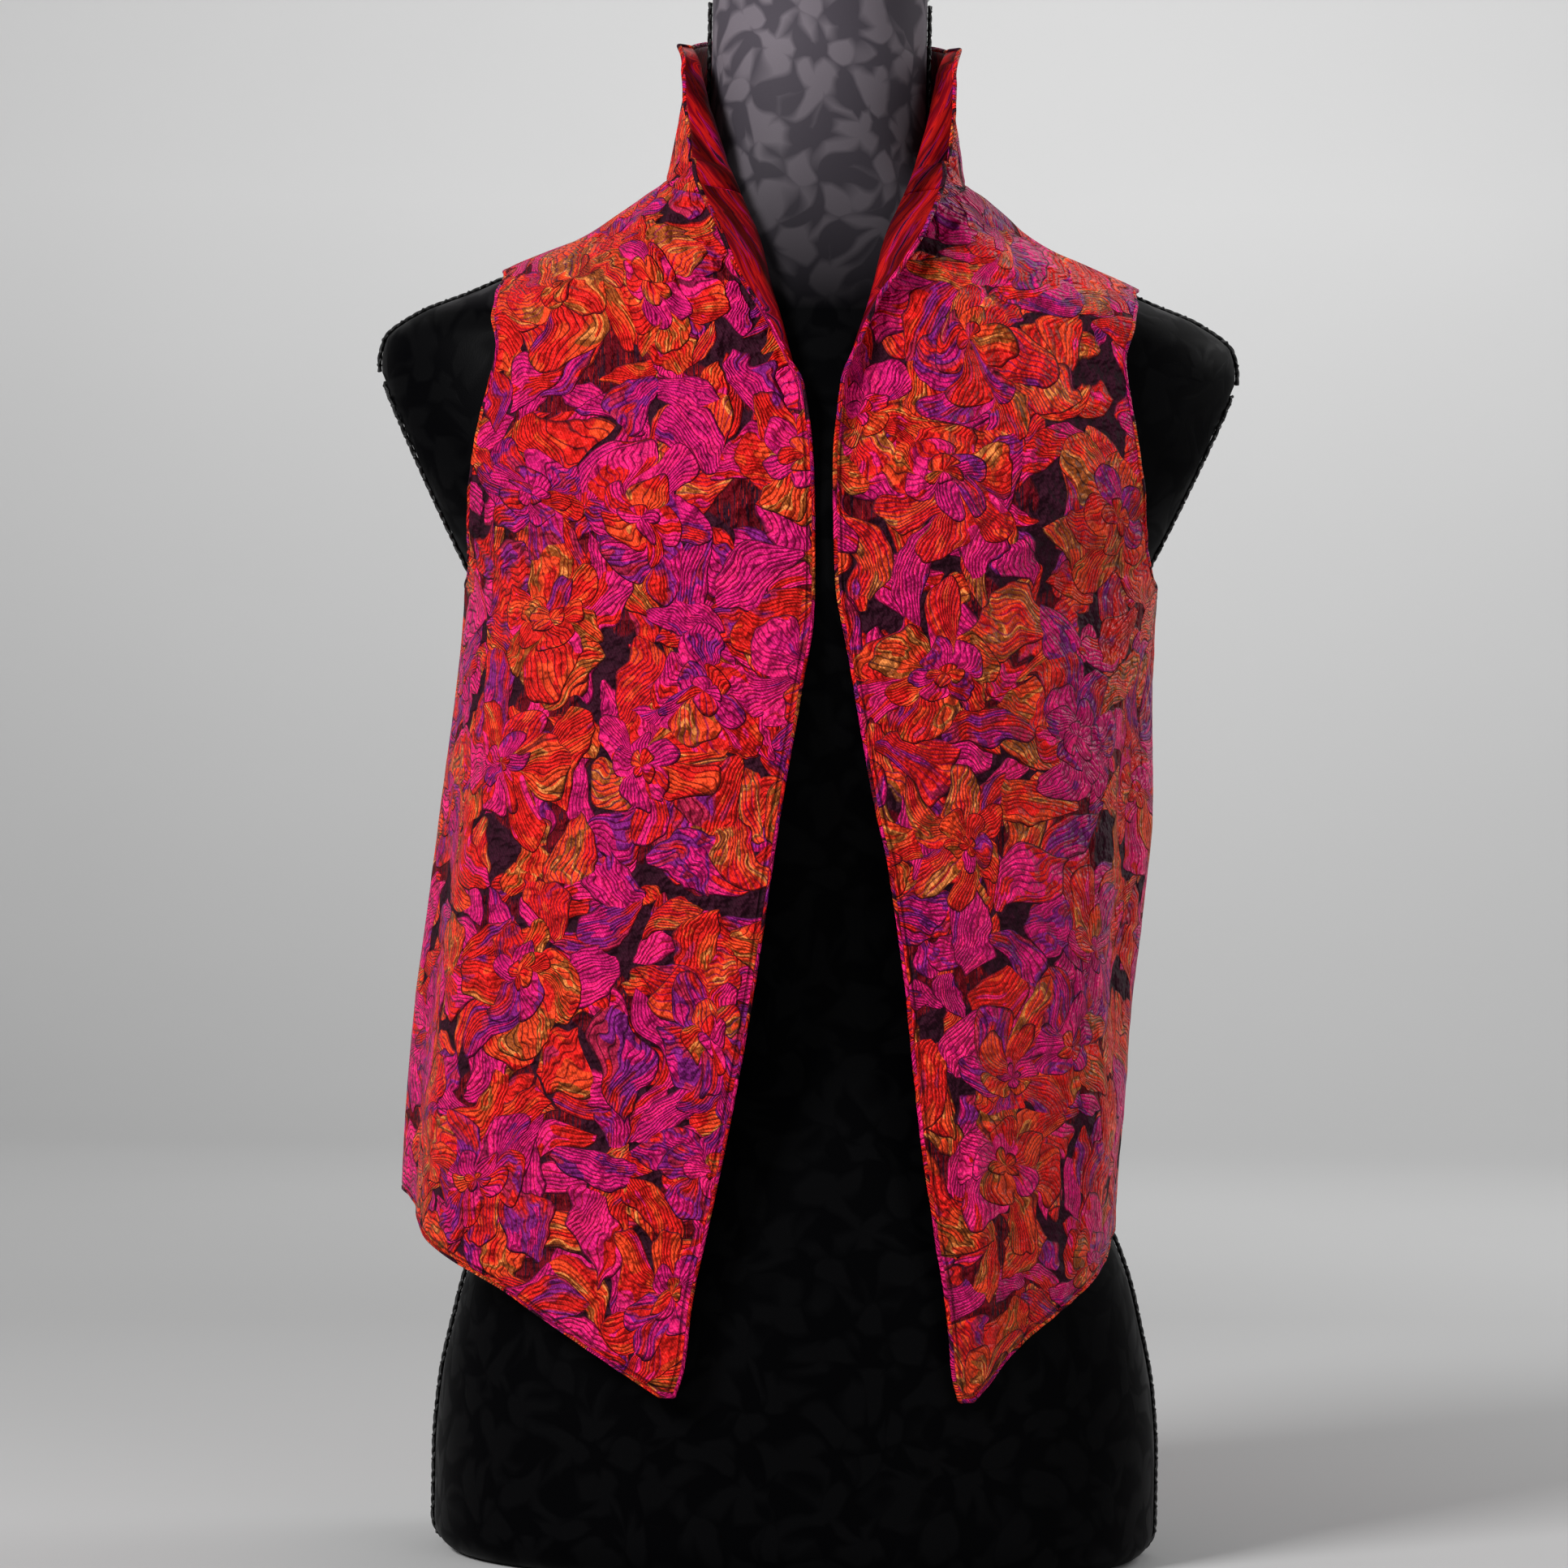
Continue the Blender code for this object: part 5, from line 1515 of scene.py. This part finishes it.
def start_editing(item: bpy.types.Object) -> bmesh.types.BMesh:
    """Open a piece in edit mode with nothing selected.

    Args:
        item: The piece, which becomes the only object selected.

    Returns:
        Its mesh as it is edited.
    """
    bpy.ops.object.select_all(action="DESELECT")
    item.select_set(True)
    bpy.context.view_layer.objects.active = item
    bpy.ops.object.mode_set(mode="EDIT")
    bpy.ops.mesh.select_mode(type="EDGE")
    bpy.ops.mesh.select_all(action="DESELECT")
    return bmesh.from_edit_mesh(item.data)


def pick_edges(item: bpy.types.Object, wanted: Callable) -> None:
    """Select the edges whose two ends both lie where a test says.

    Args:
        item: The piece in edit mode.
        wanted: Test of a point.
    """
    work = bmesh.from_edit_mesh(item.data)
    bpy.ops.mesh.select_all(action="DESELECT")
    for edge in work.edges:
        edge.select_set(all(wanted(corner.co) for corner in edge.verts))
    work.select_flush_mode()
    bmesh.update_edit_mesh(item.data)


def settle(item: bpy.types.Object, material: bpy.types.Material) -> bpy.types.Object:
    """Close editing, put the piece's place into its mesh and give it its material.

    Args:
        item: The piece in edit mode.
        material: The material.

    Returns:
        The piece.
    """
    bpy.ops.object.mode_set(mode="OBJECT")
    bpy.ops.object.transform_apply(location=True, rotation=True, scale=True)
    item.data.materials.append(material)
    bpy.ops.object.select_all(action="DESELECT")
    return item


@dataclass
class DressForm:
    """The covered torso and its neck cap."""

    fabric: bpy.types.Material
    lacquer: bpy.types.Material
    segments: int = 192
    rows: int = 240
    cap_height: float = 15.0
    cap_lip: float = 1.4
    cap_round: float = 4.0

    def loft(self, name: str, rings: np.ndarray, material: bpy.types.Material) -> bpy.types.Object:
        """Make a closed body through rings of points.

        Args:
            name: The object's name.
            rings: Rings by points by coordinates, in millimetres.
            material: The material.

        Returns:
            The object.
        """
        rows, count = rings.shape[:2]
        index = np.arange(rows * count).reshape(rows, count)
        after = np.roll(index, -1, axis=1)
        faces = np.stack([index[:-1], after[:-1], after[1:], index[1:]], axis=-1)
        faces = faces.reshape(-1, 4).tolist()
        faces += [index[0].tolist(), index[-1].tolist()]
        around = np.linalg.norm(np.diff(rings, axis=1), axis=2)
        around = np.concatenate([np.zeros((rows, 1)), np.cumsum(around, axis=1)], axis=1)
        around -= around[:, count // 2:count // 2 + 1]
        flat = np.stack([around, rings[..., 2]], axis=-1) * MM
        return mesh_object(name, rings.reshape(-1, 3), faces, flat.reshape(-1, 2), material)

    def build(self) -> None:
        """Make the torso and the cap."""
        turns = np.linspace(0.0, math.pi / 2, 12)[:-1]
        foot = BOTTOM_ROUND * (1 - np.cos(turns))
        inset = BOTTOM_ROUND * (1 - np.sin(turns))
        wall = np.linspace(BOTTOM_ROUND, 540.0, self.rows - 90)
        chest = np.linspace(540.0, FORM_HEIGHT, 100)[1:]
        heights = np.concatenate([foot, wall, chest])
        insets = np.concatenate([inset, np.zeros(len(wall) + len(chest))])
        angle = np.linspace(-180.0, 180.0, self.segments + 1)[:-1][None, :]
        ring_height = np.maximum(heights, BOTTOM_ROUND * (insets == 0.0))
        ring_height = np.where(insets > 0.0, 0.0, ring_height)
        spread = np.broadcast_to(ring_height[:, None], (len(heights), self.segments))
        rings = FORM.point(angle, spread)
        flat = rings * np.array([1.0, 1.0, 0.0])
        rings = rings - unit(flat) * insets[:, None, None]
        rings[..., 2] = heights[:, None]
        limit = PLATE_FOOT[1] + (heights - PLATE_FOOT[0]) * PLATE_LEAN
        limit = np.where(heights > PLATE_FOOT[0] - 18.0, limit, 999.0)[:, None]
        rings[..., 0] = np.clip(rings[..., 0], -limit, limit)
        torso = self.loft("form_torso", rings, self.fabric)
        sharpen(torso, 50.0)
        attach(torso, "root")
        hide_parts("form_body")
        cap = self.cap()
        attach(cap, "root")
        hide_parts("neck_cap")

    def cap(self) -> bpy.types.Object:
        """Model the cap: a drum with a small lip at its foot and a rounded upper edge."""
        base = FORM_HEIGHT + SEAM_GAP
        width = float(FORM.readers[1](FORM_HEIGHT)) + self.cap_lip
        depth = float(FORM.readers[2](FORM_HEIGHT)) + self.cap_lip
        middle = (float(FORM.centre(FORM_HEIGHT)), ORIGIN_AHEAD, base + self.cap_height / 2)
        bpy.ops.object.select_all(action="DESELECT")
        bpy.ops.mesh.primitive_cylinder_add(
            vertices=self.segments, radius=width * MM, depth=self.cap_height * MM,
            location=[value * MM for value in middle])
        item = bpy.context.object
        item.name = "form_cap"
        item.scale = (1.0, depth / width, 1.0)
        bpy.ops.object.transform_apply(location=False, rotation=False, scale=True)
        half = self.cap_height * MM / 2
        start_editing(item)
        pick_edges(item, lambda place: place.z > half - 1e-6)
        bpy.ops.mesh.bevel(offset=self.cap_round * MM, segments=10, profile=0.5,
                           affect="EDGES", clamp_overlap=True)
        pick_edges(item, lambda place: place.z < 1e-6 - half)
        bpy.ops.mesh.bevel(offset=self.cap_lip * MM, segments=4, profile=0.5,
                           affect="EDGES", clamp_overlap=True)
        settle(item, self.lacquer)
        bpy.ops.object.select_all(action="DESELECT")
        item.select_set(True)
        bpy.context.view_layer.objects.active = item
        bpy.ops.object.shade_smooth_by_angle(angle=math.radians(50.0))
        bpy.ops.object.select_all(action="DESELECT")
        return item


def sharpen(item: bpy.types.Object, degrees: float) -> None:
    """Shade a piece smooth but for edges sharper than an angle."""
    item.data.set_sharp_from_angle(angle=math.radians(degrees))


@dataclass
class GimpBraid:
    """Looped braid: two wound yarns that cross in a chain, on a narrow core."""

    yarn: bpy.types.Material
    pitch: float = 11.0
    swing: float = 2.3
    radius: float = 0.78
    lift: float = 1.15
    crossing: float = 0.35
    curl: float = 0.9
    core_radius: float = 0.5
    core_lift: float = SEAM_GAP + 0.35
    steps_per_pitch: int = 16

    def follow(self, places: np.ndarray, outward: np.ndarray, closed: bool) -> tuple:
        """Space a path evenly, so that whole loops fit it.

        Args:
            places: Points in millimetres.
            outward: Outward directions.
            closed: Whether the path is a loop.

        Returns:
            Even points, directions, distances and the whole length.
        """
        if closed:
            places = np.concatenate([places, places[:1]])
            outward = np.concatenate([outward, outward[:1]])
        travelled = distances(places)
        loops = max(round(travelled[-1] / self.pitch), 1)
        count = loops * self.steps_per_pitch
        at = np.linspace(0.0, travelled[-1], count + 1)
        if closed:
            at = at[:-1]
        even = np.stack([np.interp(at, travelled, places[:, k]) for k in range(3)], axis=1)
        ways = np.stack([np.interp(at, travelled, outward[:, k]) for k in range(3)], axis=1)
        return even, unit(ways), 2 * math.pi * at * loops / travelled[-1]

    def build(self, name: str, node: str, places: np.ndarray, outward: np.ndarray,
              closed: bool) -> None:
        """Make one stretch of braid.

        Args:
            name: Name of the stretch.
            node: The construction piece that it stands for.
            places: Points on the form in millimetres.
            outward: Outward directions there.
            closed: Whether the stretch is a loop.
        """
        even, ways, phase = self.follow(places, outward, closed)
        along = unit(np.gradient(even, axis=0))
        aside = unit(np.cross(ways, along))
        strands = []
        for number, start in enumerate((0.0, math.pi)):
            sideways = self.swing * np.sin(phase + start)
            raised = self.lift + self.crossing * np.cos(2 * phase + start)
            runback = self.curl * np.sin(2 * phase + 2 * start)
            path = even + aside * sideways[:, None] + ways * raised[:, None]
            path = path + along * runback[:, None]
            strands.append(sweep(f"{name}_{number}", path, self.radius, 6, closed, self.yarn))
        core = even + ways * self.core_lift
        strands.append(sweep(f"{name}_core", core, self.core_radius, 6, closed, self.yarn))
        for strand in strands:
            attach(strand, "root")
        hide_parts(node)

    def side_line(self, sign: float, heights: np.ndarray, insets: np.ndarray) -> tuple:
        """Points and outward directions down one side of the form.

        Args:
            sign: -1 for the viewer's left, 1 for the right.
            heights: Heights in millimetres.
            insets: How far the rounded underside draws in at each height.

        Returns:
            Points and directions.
        """
        ring = np.where(insets > 0.0, 0.0, heights)
        across = FORM.centre(ring) + sign * (FORM.readers[1](ring) - insets)
        places = np.stack([across, np.zeros(len(heights)), heights], axis=1)
        along = np.gradient(places, axis=0)
        outward = unit(np.stack([-along[:, 2], np.zeros(len(heights)), along[:, 0]], axis=1))
        flip = np.where(outward[:, 0] * sign < 0.0, -1.0, 1.0)
        return places, outward * flip[:, None]

    def build_all(self) -> None:
        """Make the braid over each shoulder, round each arm plate and down each side."""
        over = np.linspace(FORM_HEIGHT - 2.5, PLATE_CENTRE + PLATE_HALF_HEIGHT + 7.0, 500)
        turns = np.linspace(0.8, math.pi / 2, 12)[:-1]
        foot = BOTTOM_ROUND * (1 - np.cos(turns))
        inset = BOTTOM_ROUND * (1 - np.sin(turns))
        rise = np.linspace(BOTTOM_ROUND, PLATE_CENTRE - PLATE_HALF_HEIGHT - 8.0, 500)
        down = np.concatenate([foot, rise])
        insets = np.concatenate([inset, np.zeros(len(rise))])
        turn = np.linspace(0.0, 2 * math.pi, 241)[:-1]
        for side, sign in (("left", -1.0), ("right", 1.0)):
            places, outward = self.side_line(sign, over, np.zeros(len(over)))
            self.build(f"shoulder_braid_{side}", f"braid_shoulder_{side}", places, outward, False)
            places, outward = self.side_line(sign, down, insets)
            self.build(f"side_braid_{side}", f"braid_side_{side}", places, outward, False)
            height = PLATE_CENTRE + PLATE_HALF_HEIGHT * np.cos(turn)
            limit = PLATE_FOOT[1] + (height - PLATE_FOOT[0]) * PLATE_LEAN
            places = np.stack([sign * limit, PLATE_HALF_DEPTH * np.sin(turn), height], axis=1)
            outward = np.tile(unit(np.array([[sign, 0.0, -PLATE_LEAN]])), (len(turn), 1))
            self.build(f"plate_braid_{side}", f"braid_plate_{side}", places, outward, True)


@dataclass
class Studio:
    """Camera, lights, and a seamless pale backdrop."""

    paper: bpy.types.Material
    distance: float = 2.2
    height: float = 0.35325
    aside: float = -0.00825
    frame_width: float = 0.7245
    roll_degrees: float = 0.9
    sensor_mm: float = 36.0
    half_width: float = 5.0
    floor_near: float = -3.5
    floor_far: float = 2.4
    sweep_radius: float = 1.6
    wall_top: float = 4.0

    def camera(self) -> None:
        """Place the camera at the photo's angle."""
        data = bpy.data.cameras.new("camera")
        data.sensor_width = self.sensor_mm
        data.lens = self.sensor_mm * self.distance / self.frame_width
        data.clip_end = 50.0
        item = bpy.data.objects.new("camera", data)
        turn = Matrix.Rotation(math.radians(90.0), 4, "X")
        turn = turn @ Matrix.Rotation(math.radians(self.roll_degrees), 4, "Z")
        place = (self.aside, ORIGIN_AHEAD * MM - self.distance, self.height)
        item.matrix_world = Matrix.Translation(place) @ turn
        bpy.context.collection.objects.link(item)
        bpy.context.scene.camera = item

    def light(self, name: str, place: tuple, target: tuple, size: float, watts: float) -> None:
        """Add a soft square light that faces a point.

        Args:
            name: The light's name.
            place: Where it stands, in metres.
            target: The point that it faces.
            size: Its side in metres.
            watts: Its power.
        """
        data = bpy.data.lights.new(name, "AREA")
        data.size = size
        data.energy = watts
        item = bpy.data.objects.new(name, data)
        item.location = place
        way = np.array(target) - np.array(place)
        item.rotation_euler = (math.atan2(math.hypot(way[0], way[1]), -way[2]), 0.0,
                               math.atan2(-way[0], way[1]))
        bpy.context.collection.objects.link(item)

    def backdrop(self) -> None:
        """Model the floor, spun up at its far edge into the wall behind."""
        bpy.ops.object.select_all(action="DESELECT")
        bpy.ops.mesh.primitive_plane_add(size=2.0)
        item = bpy.context.object
        item.name = "backdrop"
        half_length = (self.floor_far - self.floor_near) / 2
        item.scale = (self.half_width, half_length, 1.0)
        item.location = (0.0, self.floor_near + half_length, 0.0)
        bpy.ops.object.transform_apply(location=True, rotation=True, scale=True)
        start_editing(item)
        pick_edges(item, lambda place: place.y > self.floor_far - 1e-4)
        bpy.ops.mesh.spin(steps=24, angle=-math.pi / 2, axis=(1.0, 0.0, 0.0),
                          center=(0.0, self.floor_far, self.sweep_radius))
        top = self.sweep_radius
        pick_edges(item, lambda place: place.z > top - 1e-3)
        bpy.ops.mesh.extrude_region_move(
            TRANSFORM_OT_translate={"value": (0.0, 0.0, self.wall_top - top)})
        bpy.ops.mesh.select_all(action="SELECT")
        bpy.ops.mesh.remove_doubles(threshold=1e-5)
        bpy.ops.mesh.normals_make_consistent(inside=True)
        settle(item, self.paper)
        item.data.shade_smooth()

    def build(self) -> None:
        """Set up the whole studio."""
        self.camera()
        self.backdrop()
        middle, wall = (0.0, 0.0, 0.36), (0.2, 3.9, 1.2)
        # The key is high on the viewer's left, and the fill is weak, so the right side falls off
        self.light("key", (-1.7, -1.7, 1.9), middle, 0.8, 84.0)
        self.light("fill", (1.6, -2.0, 0.8), middle, 1.6, 11.0)
        self.light("rim", (0.5, 1.2, 2.0), middle, 0.9, 4.0)
        self.light("backdrop_light", (0.5, 1.6, 1.9), wall, 1.6, 28.0)
        self.light("floor_light", (1.5, 0.8, 1.3), (0.9, 0.9, 0.0), 1.0, 16.0)
        world = bpy.data.worlds.new("studio")
        world.use_nodes = True
        background = world.node_tree.nodes["Background"]
        background.inputs["Color"].default_value = (1.0, 1.0, 1.0, 1.0)
        background.inputs["Strength"].default_value = 0.2
        scene = bpy.context.scene
        scene.world = world
        # The plain view keeps the yarns as saturated as the photo shows them
        scene.view_settings.view_transform = "Standard"


def main() -> None:
    """Build every piece in order."""
    logging.basicConfig(level=logging.INFO)
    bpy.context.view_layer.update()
    Studio(StudioPaper().make("seamless_paper")).build()
    cloth = (JacquardBrocade().make("jacquard_brocade"), BrocadeReverse().make("brocade_reverse"))
    for side in ("left", "right"):
        for piece in (FrontPanel, BackPanel, StandCollar):
            LOG.info("built %s", piece(side, *cloth).build().name)
    DressForm(SatinDamask().make("satin_damask"), Lacquer().make("black_lacquer")).build()
    LOG.info("built the dress form")
    GimpBraid(GimpYarn().make("gimp_yarn")).build_all()
    LOG.info("built the braid")


if __name__ == "__main__":
    main()
